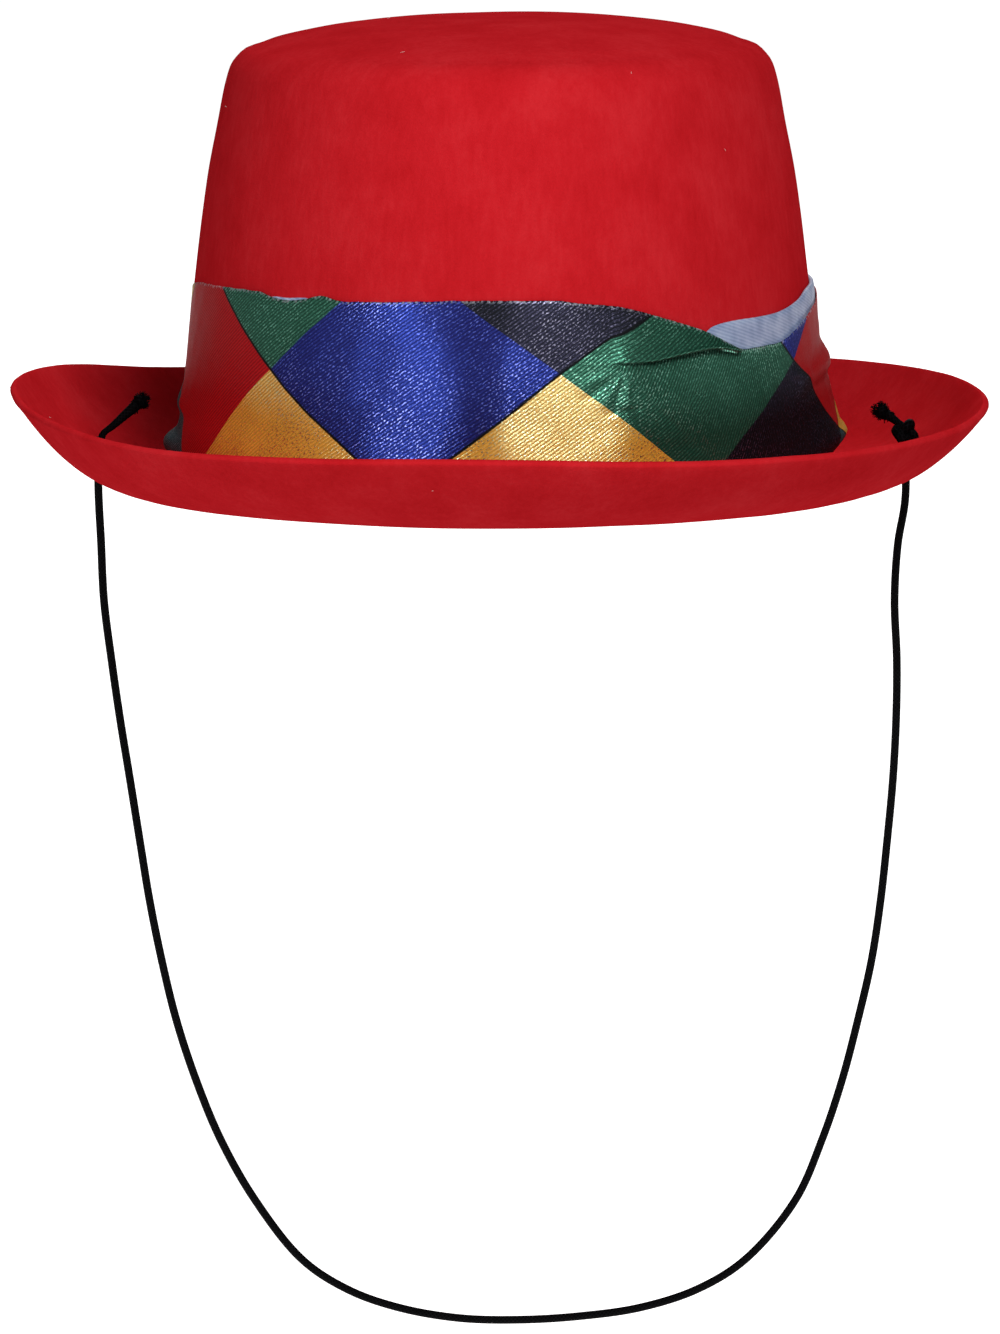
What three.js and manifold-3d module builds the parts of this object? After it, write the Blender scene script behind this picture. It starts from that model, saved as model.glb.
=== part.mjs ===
// A moulded felt hat with a turned-up brim, a satin band round the crown and an elastic chin cord.
// Millimetres. +Z up, the front of the hat faces -Y, +X is the right side as seen from the front.
// The origin is the centre of the head opening, in the plane of the brim's lowest ring of felt.
import * as THREE from "three";
import { mergeVertices } from "three/addons/utils/BufferGeometryUtils.js";
import Module from "manifold-3d";

const wasm = await Module();
wasm.setup();

const SAME_POINT = 1e-4;        // vertices closer than this are one

// Felt
const FELT = 2.0;               // wall of the moulded felt
const HEAD_WIDTH = 169;         // head opening, side to side
const HEAD_LENGTH = 196;        // head opening, front to back
const CROWN_HEIGHT = 121;       // from the brim's upper face to the top of the crown
const BRIM_WIDTH = 42.1;        // from the foot of the crown out to the lip, seen from above
const BRIM_RISE = 20;           // how far the brim turns up
const CROWN_FOOT = HEAD_WIDTH / 2 + FELT;
const OVAL = (HEAD_LENGTH - HEAD_WIDTH) / 2;
const TOP_EDGE = 0.77;          // where the top begins to bend over, share of the foot's half width
const LIP_ROUND = 0.4;          // how far the lip's edge is rounded out, share of the felt
const FELT_TURNS = 60;

// Satin band
const BAND_WIDTH = 51;          // from its foot up to its top edge at the front
const BAND_WALL = 1.2;
const BAND_FOOT = 7;            // height of its foot above the opening's plane
const BAND_CLEARANCE = 0.4;     // between the band and the felt
const BAND_PUFF = 6;            // how far its loosest roll stands off the felt
const BAND_TURNS = 90;
const HEM_WALL = 0.7;
const HEM_CLEARANCE = 0.35;
const HEM_TUCK = 7;             // how far the turned hem reaches down behind the front layer
const HEM_STEPS = 22;

// Chin cord
const CORD = 2.2;               // diameter of the round elastic
const CORD_SIDES = 8;
const CORD_STEPS = 78;
const HOLE_CLEARANCE = 0.35;    // round the cord, in its hole
const KNOT_CLEARANCE = 0.3;     // between a knot and what it sits on
const KNOT = 6.2;               // width of a knot
const KNOT_HEIGHT = 5.6;
const KNOT_SEAT = 0.4;          // how far out the knot meets the felt, share of its width
const KNOT_SIDES = 14;
const TAIL_STEPS = 6;
const FRAY = 4.2;               // width of a tail's frayed end
const FRAY_SIDES = 9;
const FRAY_RINGS = 7;

// The crown's outer face, from the centre of the top down to its foot.
// out: share of the foot's half width. up: share of the crown's height.
const CROWN = [
  { out: 0.0, up: 1.0 },
  { out: 0.289, up: 0.997 },
  { out: 0.52, up: 0.982 },
  { out: 0.636, up: 0.969 },
  { out: 0.705, up: 0.959 },
  { out: 0.751, up: 0.948 },
  { out: 0.786, up: 0.936 },
  { out: 0.809, up: 0.921 },
  { out: 0.8266, up: 0.904 },
  { out: 0.844, up: 0.865 },
  { out: 0.867, up: 0.781 },
  { out: 0.902, up: 0.645 },
  { out: 0.942, up: 0.421 },
  { out: 0.972, up: 0.186 },
  { out: 0.991, up: 0.05 },
];

// The brim's upper face, from the foot of the crown out to the lip.
// out: share of the brim's width. up: share of its rise.
const BRIM = [
  { out: 0.012, up: 0.15 },
  { out: 0.045, up: 0.05 },
  { out: 0.11, up: 0.0 },
  { out: 0.27, up: 0.0 },
  { out: 0.4, up: 0.04 },
  { out: 0.52, up: 0.13 },
  { out: 0.64, up: 0.27 },
  { out: 0.76, up: 0.462 },
  { out: 0.88, up: 0.706 },
  { out: 1.0, up: 1.0 },
];

// How the turned-up lip goes higher and lower round the hat.
// at: degrees from the front towards the right side. rise: share of the brim's rise.
const LIP = [
  { at: 0, rise: 0.93 },
  { at: 22.5, rise: 0.855 },
  { at: 45, rise: 0.875 },
  { at: 67.5, rise: 1.005 },
  { at: 90, rise: 1.045 },
  { at: 112.5, rise: 1.11 },
  { at: 135, rise: 1.075 },
  { at: 157.5, rise: 0.935 },
  { at: 180, rise: 0.84 },
  { at: 202.5, rise: 0.83 },
  { at: 225, rise: 0.945 },
  { at: 247.5, rise: 1.205 },
  { at: 270, rise: 1.285 },
  { at: 292.5, rise: 1.035 },
  { at: 315, rise: 0.95 },
  { at: 337.5, rise: 0.915 },
];

// The satin band, a row for each stretch between its waves, folds and puffs.
// top: height of the top edge, share of the band's width. roll, waist and ridge: how far the band
// stands off the felt just above its foot, at its middle and below its top edge, and edge at the top
// edge itself, all as shares of the puff.
const BAND = [
  { at: -90, top: 0.91, roll: 0.72, waist: 0.05, ridge: 0.0, edge: 0.0 },
  { at: -73, top: 0.963, roll: 0.5, waist: 0.05, ridge: 0.0, edge: 0.05 },
  { at: -60, top: 0.973, roll: 0.12, waist: 0.1, ridge: 0.05, edge: 0.1 },
  { at: -47, top: 0.955, roll: 0.05, waist: 0.12, ridge: 0.1, edge: 0.14 },
  { at: -35, top: 0.988, roll: 0.05, waist: 0.05, ridge: 0.04, edge: 0.04 },
  { at: -23, top: 0.978, roll: 0.05, waist: 0.0, ridge: 0.02, edge: 0.06 },
  { at: 0, top: 0.998, roll: 0.05, waist: 0.05, ridge: 0.03, edge: 0.05 },
  { at: 17, top: 0.97, roll: 0.08, waist: 0.08, ridge: 0.08, edge: 0.12 },
  { at: 26, top: 0.925, roll: 0.1, waist: 0.1, ridge: 0.32, edge: 0.14 },
  { at: 37, top: 0.825, roll: 0.1, waist: 0.16, ridge: 0.42, edge: 0.22 },
  { at: 48, top: 0.695, roll: 0.1, waist: 0.24, ridge: 0.36, edge: 0.28 },
  { at: 60, top: 0.68, roll: 0.14, waist: 0.2, ridge: 0.34, edge: 0.26 },
  { at: 74, top: 0.785, roll: 0.5, waist: 0.26, ridge: 0.42, edge: 0.25 },
  { at: 90, top: 0.86, roll: 0.86, waist: 0.36, ridge: 0.4, edge: 0.25 },
  { at: 108, top: 0.955, roll: 0.4, waist: 0.1, ridge: 0.1, edge: 0.2 },
  { at: 135, top: 0.97, roll: 0.08, waist: 0.05, ridge: 0.04, edge: 0.04 },
  { at: 180, top: 0.98, roll: 0.08, waist: 0.06, ridge: 0.04, edge: 0.06 },
  { at: 225, top: 0.965, roll: 0.1, waist: 0.05, ridge: 0.05, edge: 0.04 },
  { at: 250, top: 0.95, roll: 0.3, waist: 0.04, ridge: 0.03, edge: 0.03 },
];

// The levels at which the band's section is drawn. up: share of the way from its foot to its top edge.
// The other columns say which of the stand-offs of its row is at work there, and how much.
const BAND_LEVELS = [
  { up: 0.0, roll: 0.25, waist: 0, ridge: 0, edge: 0 },
  { up: 0.15, roll: 1, waist: 0, ridge: 0, edge: 0 },
  { up: 0.32, roll: 0.35, waist: 0.6, ridge: 0, edge: 0 },
  { up: 0.52, roll: 0, waist: 1, ridge: 0.3, edge: 0 },
  { up: 0.74, roll: 0, waist: 0.2, ridge: 1, edge: 0.2 },
  { up: 1.0, roll: 0, waist: 0, ridge: 0, edge: 1 },
];

// The turned hem, where its wrong side shows above the front layer.
// top: height of its upper edge, share of the band's width.
const HEM = [
  { at: 38, top: 0.83 },
  { at: 46, top: 0.83 },
  { at: 55, top: 0.834 },
  { at: 62, top: 0.84 },
  { at: 71, top: 0.88 },
  { at: 80, top: 0.94 },
  { at: 90, top: 0.955 },
  { at: 100, top: 0.96 },
];

// The cord's centre line as it hangs, from under the left hole round to under the right one.
const CORD_ROUTE = [
  [-107.2, 0, -3], [-106.6, 0, -16], [-105.9, 0, -32], [-104.0, 0.3, -48], [-101.8, 0.5, -64],
  [-99.3, 0.7, -80], [-96.7, 0.9, -97], [-94.2, 1.1, -113], [-91.1, 1.4, -129], [-87.2, 1.7, -145.6],
  [-82.0, 2.1, -162], [-75.4, 2.7, -178.5], [-66.3, 3.4, -195], [-53.6, 4.5, -211.6],
  [-41.1, 5.6, -220.1], [-27.4, 6.7, -225.2], [-11.2, 8.1, -228.3], [5.0, 9.4, -229], [21.2, 10.8, -228.3],
  [37.5, 12.1, -226.2], [53.0, 13.4, -221.4], [66.0, 14.5, -213.4], [79.5, 15.7, -197.3],
  [86.6, 16.3, -181], [92.0, 16.7, -164.6], [96.2, 17.1, -148.2], [99.8, 17.4, -132], [102.2, 17.6, -115.5],
  [103.9, 17.7, -99], [105.3, 17.8, -83], [106.1, 17.9, -66.6], [106.2, 17.9, -50.3], [105.5, 17.8, -34],
  [106.3, 17.9, -19], [108.2, 18, -7],
];

// The two holes in the brim, straight above the ends of the route.
const HOLES = [
  { side: "left", x: CORD_ROUTE[0][0], y: CORD_ROUTE[0][1] },
  { side: "right", x: CORD_ROUTE.at(-1)[0], y: CORD_ROUTE.at(-1)[1] },
];

// Each knot's tail, as steps from the top of the knot to the frayed end.
const TAILS = {
  left: [[2.5, 0.5, 3.2], [6.0, 1.5, 6.6], [10.6, 3.2, 9.0]],
  right: [[-1.2, 0.4, 1.4], [-3.0, 0.9, 3.0], [-5.8, 1.6, 5.0]],
};

// A value of a table between two of its rows, going straight from one to the next.
function between(rows, key, column, at) {
  const next = rows.findIndex((row, i) => i > 0 && (row[key] - at) * (rows[i - 1][key] - at) <= 0);
  if (next < 0) {
    const atStart = Math.abs(rows[0][key] - at) < Math.abs(rows.at(-1)[key] - at);
    return atStart ? rows[0][column] : rows.at(-1)[column];
  }
  const before = rows[next - 1];
  const share = (at - before[key]) / (rows[next][key] - before[key]);
  return THREE.MathUtils.lerp(before[column], rows[next][column], share);
}

// A value of a table that goes once round the hat, on a smooth curve through its rows.
function aroundHat(rows, column, degrees) {
  const count = rows.length;
  const row = (i) => rows[(i + count) % count];
  const place = (i) => row(i).at + 360 * Math.floor(i / count);
  const at = THREE.MathUtils.euclideanModulo(degrees - rows[0].at, 360) + rows[0].at;
  let i = 0;
  while (place(i + 1) <= at) {
    i += 1;
  }
  const slope = (k) => (row(k + 1)[column] - row(k - 1)[column]) / (place(k + 1) - place(k - 1));
  const span = place(i + 1) - place(i);
  const t = (at - place(i)) / span;
  const ease = t * t * (3 - 2 * t);
  const leave = t * (1 - t) * (1 - t) * span * slope(i);
  const arrive = t * t * (t - 1) * span * slope(i + 1);
  return THREE.MathUtils.lerp(row(i)[column], row(i + 1)[column], ease) + leave + arrive;
}

// A closed solid of a geometry, with shared vertices merged and collapsed triangles left out.
function solidOf(geometry) {
  const bare = new THREE.BufferGeometry();
  bare.setAttribute("position", geometry.getAttribute("position").clone());
  bare.setIndex(geometry.getIndex() ?? [...Array(geometry.getAttribute("position").count).keys()]);
  const merged = mergeVertices(bare, SAME_POINT);
  const index = merged.getIndex().array;
  const kept = [];
  for (let i = 0; i < index.length; i += 3) {
    const [a, b, c] = [index[i], index[i + 1], index[i + 2]];
    if (a !== b && b !== c && c !== a) {
      kept.push(a, b, c);
    }
  }
  const vertProperties = new Float32Array(merged.getAttribute("position").array);
  const triVerts = new Uint32Array(kept);
  return new wasm.Manifold(new wasm.Mesh({ numProp: 3, vertProperties, triVerts }));
}

// The geometry of a solid.
function geometryOf(solid) {
  const mesh = solid.getMesh();
  const geometry = new THREE.BufferGeometry();
  geometry.setAttribute("position", new THREE.BufferAttribute(mesh.vertProperties, 3));
  geometry.setIndex(new THREE.BufferAttribute(mesh.triVerts, 1));
  geometry.computeVertexNormals();
  return geometry;
}

// Moves every vertex of a geometry to where a rule puts it.
function reshape(geometry, rule) {
  const position = geometry.getAttribute("position");
  const point = new THREE.Vector3();
  for (let i = 0; i < position.count; i += 1) {
    point.fromBufferAttribute(position, i);
    rule(point);
    position.setXYZ(i, point.x, point.y, point.z);
  }
  return geometry;
}

// The felt's upper face as a line from the top of the crown to the lip: out from the middle, and up.
function feltLine() {
  const crown = CROWN.map((row) => new THREE.Vector2(row.out * CROWN_FOOT, FELT + row.up * CROWN_HEIGHT));
  const brim = BRIM.map((row) => new THREE.Vector2(
    CROWN_FOOT + row.out * BRIM_WIDTH,
    FELT + row.up * BRIM_RISE,
  ));
  return [...crown, ...brim];
}

// The line of the felt's other face, a wall's thickness inside or under the first one.
function otherFace(line) {
  return line.map((point, i) => {
    const along = line[Math.min(i + 1, line.length - 1)].clone().sub(line[Math.max(i - 1, 0)]).normalize();
    const inside = new THREE.Vector2(along.y, -along.x).multiplyScalar(FELT);
    return i === 0 ? new THREE.Vector2(0, point.y - FELT) : point.clone().add(inside);
  });
}

// How far out from the foot of the crown a point is: 0 on the crown, 1 at the lip.
function brimShare(radius) {
  return THREE.MathUtils.clamp((radius - CROWN_FOOT) / BRIM_WIDTH, 0, 1);
}

// Draws a point of the round blank out to the oval hat, and lifts the brim as its lip goes up and down.
function drawToHat(point) {
  const radius = Math.hypot(point.x, point.y);
  const turn = Math.atan2(point.x, -point.y);
  const longer = OVAL * Math.min(1, radius / (CROWN_FOOT * TOP_EDGE));
  const lift = aroundHat(LIP, "rise", THREE.MathUtils.radToDeg(turn)) - 1;
  const rise = between(BRIM, "out", "up", brimShare(radius));
  point.y -= longer * Math.cos(turn);
  point.z += radius > CROWN_FOOT ? lift * rise * BRIM_RISE : 0;
}

// The felt's upper face: its half width on the crown at a height, and its height on the brim.
function crownOut(height) {
  return CROWN_FOOT * between(CROWN, "up", "out", (height - FELT) / CROWN_HEIGHT);
}

function brimUp(x, y) {
  const turn = Math.atan2(x / (CROWN_FOOT + BRIM_WIDTH / 2), -y / (CROWN_FOOT + OVAL + BRIM_WIDTH / 2));
  const radius = x / Math.sin(turn);
  const rise = between(BRIM, "out", "up", brimShare(radius));
  return FELT + rise * BRIM_RISE * aroundHat(LIP, "rise", THREE.MathUtils.radToDeg(turn));
}

// A point on the crown's outer face, pushed out from the felt.
function onCrown(degrees, height, standOff) {
  const turn = THREE.MathUtils.degToRad(degrees);
  const out = crownOut(height) + standOff;
  return new THREE.Vector3(out * Math.sin(turn), -(out + OVAL) * Math.cos(turn), height);
}

// A tube along a smooth curve through the points.
function tube(points, radius, sides, steps) {
  const section = new THREE.Shape();
  for (let i = 0; i < sides; i += 1) {
    const angle = (2 * Math.PI * i) / sides;
    const corner = [radius * Math.cos(angle), radius * Math.sin(angle)];
    if (i === 0) {
      section.moveTo(...corner);
    } else {
      section.lineTo(...corner);
    }
  }
  section.closePath();
  const route = new THREE.CatmullRomCurve3(points);
  return new THREE.ExtrudeGeometry(section, { steps, extrudePath: route, bevelEnabled: false });
}

// Crown and brim in one felt wall, with the two cord holes punched through.
function feltBody() {
  const upper = feltLine();
  const lower = otherFace(upper);
  const outward = upper.at(-1).clone().sub(upper.at(-2)).setLength(FELT * LIP_ROUND);
  const lip = upper.at(-1).clone().add(lower.at(-1)).multiplyScalar(0.5).add(outward);
  const outline = [...lower, lip, ...upper.toReversed()];
  const blank = new THREE.LatheGeometry(outline, FELT_TURNS);
  blank.rotateX(Math.PI / 2);
  let felt = solidOf(reshape(blank, drawToHat));
  for (const hole of HOLES) {
    const punch = new THREE.CylinderGeometry(
      CORD / 2 + HOLE_CLEARANCE,
      CORD / 2 + HOLE_CLEARANCE,
      BRIM_RISE * 2,
      CORD_SIDES * 2,
    );
    punch.rotateX(Math.PI / 2);
    punch.translate(hole.x, hole.y, FELT);
    felt = felt.subtract(solidOf(punch));
  }
  return geometryOf(felt);
}

// A closed strip round part or all of the crown, from an inner and an outer face on one grid of points.
function stripGeometry(columns, closed) {
  const rows = columns[0].inner.length;
  const positions = [];
  const faces = [];
  for (const column of columns) {
    for (const point of [...column.inner, ...column.outer.toReversed()]) {
      positions.push(point.x, point.y, point.z);
    }
  }
  const ring = rows * 2;
  const last = closed ? columns.length : columns.length - 1;
  for (let i = 0; i < last; i += 1) {
    const here = i * ring;
    const there = ((i + 1) % columns.length) * ring;
    for (let k = 0; k < ring; k += 1) {
      const next = (k + 1) % ring;
      faces.push(here + k, there + next, there + k, here + k, here + next, there + next);
    }
  }
  if (!closed) {
    const end = (columns.length - 1) * ring;
    for (let k = 0; k < rows - 1; k += 1) {
      const far = ring - 1 - k;
      faces.push(k, far - 1, k + 1, k, far, far - 1);
      faces.push(end + k, end + k + 1, end + far - 1, end + k, end + far - 1, end + far);
    }
  }
  const geometry = new THREE.BufferGeometry();
  geometry.setAttribute("position", new THREE.Float32BufferAttribute(positions, 3));
  geometry.setIndex(faces);
  geometry.computeVertexNormals();
  return geometry;
}

function bandTop(degrees) {
  return BAND_FOOT + BAND_WIDTH * aroundHat(BAND, "top", degrees);
}

// How far the band's inner face stands off the felt.
function bandStandOff(degrees, level) {
  let share = 0;
  for (const column of ["roll", "waist", "ridge", "edge"]) {
    share += level[column] * Math.max(0, aroundHat(BAND, column, degrees));
  }
  return BAND_CLEARANCE + BAND_PUFF * share;
}

function satinBand() {
  const columns = [];
  for (let i = 0; i < BAND_TURNS; i += 1) {
    const degrees = (360 * i) / BAND_TURNS;
    const column = { inner: [], outer: [] };
    for (const level of BAND_LEVELS) {
      const height = THREE.MathUtils.lerp(BAND_FOOT, bandTop(degrees), level.up);
      const standOff = bandStandOff(degrees, level);
      column.inner.push(onCrown(degrees, height, standOff));
      column.outer.push(onCrown(degrees, height, standOff + BAND_WALL));
    }
    columns.push(column);
  }
  return stripGeometry(columns, true);
}

// The white wrong side of the turned hem, between the felt and the front layer.
function turnedHem() {
  const columns = [];
  const start = HEM[0].at;
  const end = HEM.at(-1).at;
  for (let i = 0; i <= HEM_STEPS; i += 1) {
    const degrees = THREE.MathUtils.lerp(start, end, i / HEM_STEPS);
    const top = BAND_FOOT + BAND_WIDTH * between(HEM, "at", "top", degrees);
    const foot = Math.min(top, bandTop(degrees)) - HEM_TUCK;
    const column = { inner: [], outer: [] };
    for (const height of [foot, (foot + top) / 2, top]) {
      column.inner.push(onCrown(degrees, height, HEM_CLEARANCE));
      column.outer.push(onCrown(degrees, height, HEM_CLEARANCE + HEM_WALL));
    }
    columns.push(column);
  }
  return stripGeometry(columns, false);
}

// Where a knot's underside is: clear of the highest felt under it, on the sloping brim.
function knotFoot(hole) {
  const heights = [];
  for (let turn = 0; turn < 8; turn += 1) {
    const angle = (Math.PI * turn) / 4;
    const reach = KNOT * KNOT_SEAT;
    heights.push(brimUp(hole.x + reach * Math.cos(angle), hole.y + reach * Math.sin(angle)));
  }
  return Math.max(...heights) + KNOT_CLEARANCE;
}

// The loop of cord, up through both holes to just under the knots.
function chinCord() {
  const ends = HOLES.map((hole) => [hole.x, hole.y, knotFoot(hole) - KNOT_CLEARANCE]);
  const points = [ends[0], ...CORD_ROUTE, ends[1]].map((point) => new THREE.Vector3(...point));
  return tube(points, CORD / 2, CORD_SIDES, CORD_STEPS);
}

// A tight knot of the cord: two turns with a waist between them.
function knotLump() {
  const turns = [
    { out: 0.0, up: 0.0 },
    { out: 0.62, up: 0.02 },
    { out: 0.93, up: 0.14 },
    { out: 1.0, up: 0.3 },
    { out: 0.86, up: 0.47 },
    { out: 0.92, up: 0.62 },
    { out: 0.84, up: 0.8 },
    { out: 0.5, up: 0.96 },
    { out: 0.0, up: 1.0 },
  ];
  const line = turns.map((row) => new THREE.Vector2((row.out * KNOT) / 2, row.up * KNOT_HEIGHT));
  const lump = new THREE.LatheGeometry(line, KNOT_SIDES);
  lump.rotateX(Math.PI / 2);
  return lump;
}

// A knot with its short tail, which ends in a small frayed ball.
function knot(hole) {
  const foot = knotFoot(hole);
  const lump = knotLump();
  lump.translate(hole.x, hole.y, foot);
  const top = new THREE.Vector3(hole.x, hole.y, foot + KNOT_HEIGHT - CORD);
  const steps = TAILS[hole.side].map((step) => new THREE.Vector3(...step).add(top));
  const tail = tube([top, ...steps], CORD / 2, CORD_SIDES, TAIL_STEPS);
  const fray = new THREE.SphereGeometry(FRAY / 2, FRAY_SIDES, FRAY_RINGS);
  fray.translate(...steps.at(-1).toArray());
  return geometryOf(solidOf(lump).add(solidOf(tail)).add(solidOf(fray)));
}

function finish(color, roughness) {
  return new THREE.MeshStandardMaterial({ color, roughness, metalness: 0, side: THREE.DoubleSide });
}

const felt = finish("#b81e24", 0.95);
const satin = finish("#33418d", 0.4);
const wrongSide = finish("#c9cfe0", 0.6);
const elastic = finish("#121214", 0.7);

function addPiece(group, name, geometry, material) {
  const mesh = new THREE.Mesh(geometry, material);
  mesh.name = name;
  group.add(mesh);
}

const group = new THREE.Group();
addPiece(group, "felt_body", feltBody(), felt);
addPiece(group, "satin_band", satinBand(), satin);
addPiece(group, "band_turned_hem", turnedHem(), wrongSide);
addPiece(group, "chin_cord", chinCord(), elastic);
for (const hole of HOLES) {
  addPiece(group, `knot_${hole.side}`, knot(hole), elastic);
}

export default group;
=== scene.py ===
# %% [markdown]
# # A clown hat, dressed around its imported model
# The real thing is a party hat: one cap of red wool felt, pressed over a block into a tapered crown and
# a turned-up brim, a strip of harlequin satin round the foot of the crown, and a black elastic that
# goes under the chin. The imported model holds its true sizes, and this lesson gives it its looks.

import math

import bmesh
import bpy
import numpy as np
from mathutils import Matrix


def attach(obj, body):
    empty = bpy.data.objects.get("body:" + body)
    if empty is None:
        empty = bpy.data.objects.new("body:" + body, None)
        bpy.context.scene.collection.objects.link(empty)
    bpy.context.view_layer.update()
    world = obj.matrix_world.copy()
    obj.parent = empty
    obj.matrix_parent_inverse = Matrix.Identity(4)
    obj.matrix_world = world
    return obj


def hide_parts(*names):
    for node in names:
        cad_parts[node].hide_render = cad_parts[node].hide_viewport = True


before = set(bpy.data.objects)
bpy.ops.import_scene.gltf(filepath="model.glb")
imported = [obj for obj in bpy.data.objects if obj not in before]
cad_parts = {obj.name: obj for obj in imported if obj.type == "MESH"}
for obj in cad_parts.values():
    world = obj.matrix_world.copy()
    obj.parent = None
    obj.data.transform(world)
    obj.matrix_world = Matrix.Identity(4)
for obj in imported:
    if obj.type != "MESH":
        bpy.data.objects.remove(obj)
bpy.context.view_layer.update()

# %% [markdown]
# ## Small tools for every piece
# Sizes are written in millimetres, as on a pattern maker's card, and turned to metres when a mesh is
# made. Colours are read as sRGB hex values, as a colour picker gives them, and Blender wants them linear.
# A MapRange node's list holds the value, the two ends it comes from, and the two that it goes to.

# %% Millimetres, colours and nodes
MM = 0.001
WHITE = (1.0, 1.0, 1.0, 1.0)
chance = np.random.default_rng(11)


def linear(hex_colour):
    """The linear colour of an sRGB hex value."""
    shares = [int(hex_colour[i:i + 2], 16) / 255 for i in (1, 3, 5)]
    return (*[s / 12.92 if s <= 0.04045 else ((s + 0.055) / 1.055) ** 2.4 for s in shares], 1.0)


def add_node(tree, kind, inputs={}, stops=(), **settings):
    """Adds a shader node with its inputs, by name or in order, the stops of its ramp and its settings.
    A kind in capitals is an operation of the Math node."""
    if kind.isupper():
        kind, settings = "Math", {"operation": kind}
    node = tree.nodes.new("ShaderNode" + kind)
    for name, value in settings.items():
        setattr(node, name, value)
    for name, value in inputs.items() if isinstance(inputs, dict) else enumerate(inputs):
        if isinstance(value, bpy.types.Node):
            value = value.outputs[0]
        if isinstance(value, bpy.types.NodeSocket):
            tree.links.new(value, node.inputs[name])
        else:
            node.inputs[name].default_value = value
    for i, (place, colour) in enumerate(stops):
        ramp = node.color_ramp.elements
        stop = ramp[i] if i < len(ramp) else ramp.new(place)
        stop.position = place
        stop.color = colour
    return node


def put(name, data):
    """An object in the scene that shows some data."""
    piece = bpy.data.objects.new(name, data)
    bpy.context.scene.collection.objects.link(piece)
    return piece


def new_material(name):
    """An empty node material, and the tool that adds nodes to it."""
    material = bpy.data.materials.new(name)
    material.use_nodes = True
    material.node_tree.nodes.clear()
    return material, lambda *parts, **settings: add_node(material.node_tree, *parts, **settings)


print("red of the felt, linear:", [round(c, 3) for c in linear("#c61e26")])

# %% [markdown]
# ## Curves through a few chosen points
# A pattern maker notes a few points and draws a fair curve through them. So do these functions: one
# cubic piece, a line of such pieces in space for things like the cord, and a value that goes once round
# the hat.

# %% Fair curves
def cubic(start, end, start_slope, end_slope, span, t):
    """A cubic from start to end, with a slope at each, at a share t of the span."""
    return (
        start * (1 + 2 * t) * (1 - t) ** 2 + end * t * t * (3 - 2 * t)
        + span * start_slope * t * (1 - t) ** 2 + span * end_slope * t * t * (t - 1)
    )


def smooth_line(points, step):
    """Points about a step apart, on a smooth curve through the given ones."""
    points = np.asarray(points, float)
    gaps = np.linalg.norm(np.diff(points, axis=0), axis=1)
    place = np.concatenate([[0], np.cumsum(gaps ** 0.5)])
    slope = np.gradient(points, place, axis=0)
    t = np.linspace(0, 1, 24, endpoint=False)[:, None]
    curve = []
    for i in range(len(points) - 1):
        curve.append(cubic(points[i], points[i + 1], slope[i], slope[i + 1], place[i + 1] - place[i], t))
    curve = np.concatenate([*curve, points[-1:]])
    along = np.concatenate([[0], np.cumsum(np.linalg.norm(np.diff(curve, axis=0), axis=1))])
    even = np.linspace(0, along[-1], max(2, round(along[-1] / step)) + 1)
    return np.stack([np.interp(even, along, curve[:, k]) for k in range(points.shape[1])], axis=1)


def round_the_hat(rows, column, degrees):
    """A table's value at some degrees from the front, on a smooth curve that closes on itself."""
    at = np.array([row[0] for row in rows], float)
    value = np.tile([row[column] for row in rows], 3)
    at = np.concatenate([at - 360, at, at + 360])
    slope = (np.roll(value, -1) - np.roll(value, 1)) / (np.roll(at, -1) - np.roll(at, 1))
    degrees = (np.asarray(degrees, float) + 180) % 360 - 180
    i = np.searchsorted(at, degrees, side="right") - 1
    span = at[i + 1] - at[i]
    return cubic(value[i], value[i + 1], slope[i], slope[i + 1], span, (degrees - at[i]) / span)


# %% [markdown]
# ## The camera
# The photograph was taken from the front, a little above the brim, from far enough away that the hat
# hardly tapers with distance. The distance, tilt and lens below put the brim's two tips, the crown's top
# and the foot of the cord's loop where they are in a picture of 1000 by 1334 pixels.

# %% Camera
PICTURE = (1000, 1334)
CAMERA_DISTANCE = 2.4
CAMERA_TILT = math.radians(7.4)
CAMERA_TARGET = (-0.0004, 0.0, -0.0499)
PIXELS_PER_METRE = 3750  # at the target
SENSOR = 36

camera_data = bpy.data.cameras.new("camera")
camera_data.sensor_width = SENSOR
camera_data.lens = SENSOR * PIXELS_PER_METRE * CAMERA_DISTANCE / max(PICTURE)
camera = put("camera", camera_data)
camera.location = (
    CAMERA_TARGET[0],
    CAMERA_TARGET[1] - CAMERA_DISTANCE * math.cos(CAMERA_TILT),
    CAMERA_TARGET[2] + CAMERA_DISTANCE * math.sin(CAMERA_TILT),
)
camera.rotation_euler = (math.pi / 2 - CAMERA_TILT, 0, 0)
bpy.context.scene.camera = camera
print("lens:", round(camera_data.lens, 1), "mm")

# %% [markdown]
# ## Skins from a grid of points
# Felt, satin, hem and cord are all one skin bent round: columns of points side by side, closed round the
# hat or round the cord. A grid keeps even, fine faces, which smooth cloth needs, and gives cloth
# coordinates for free. Points that fall together are merged, and open ends are filled, so that each
# piece is a closed mesh.

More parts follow.
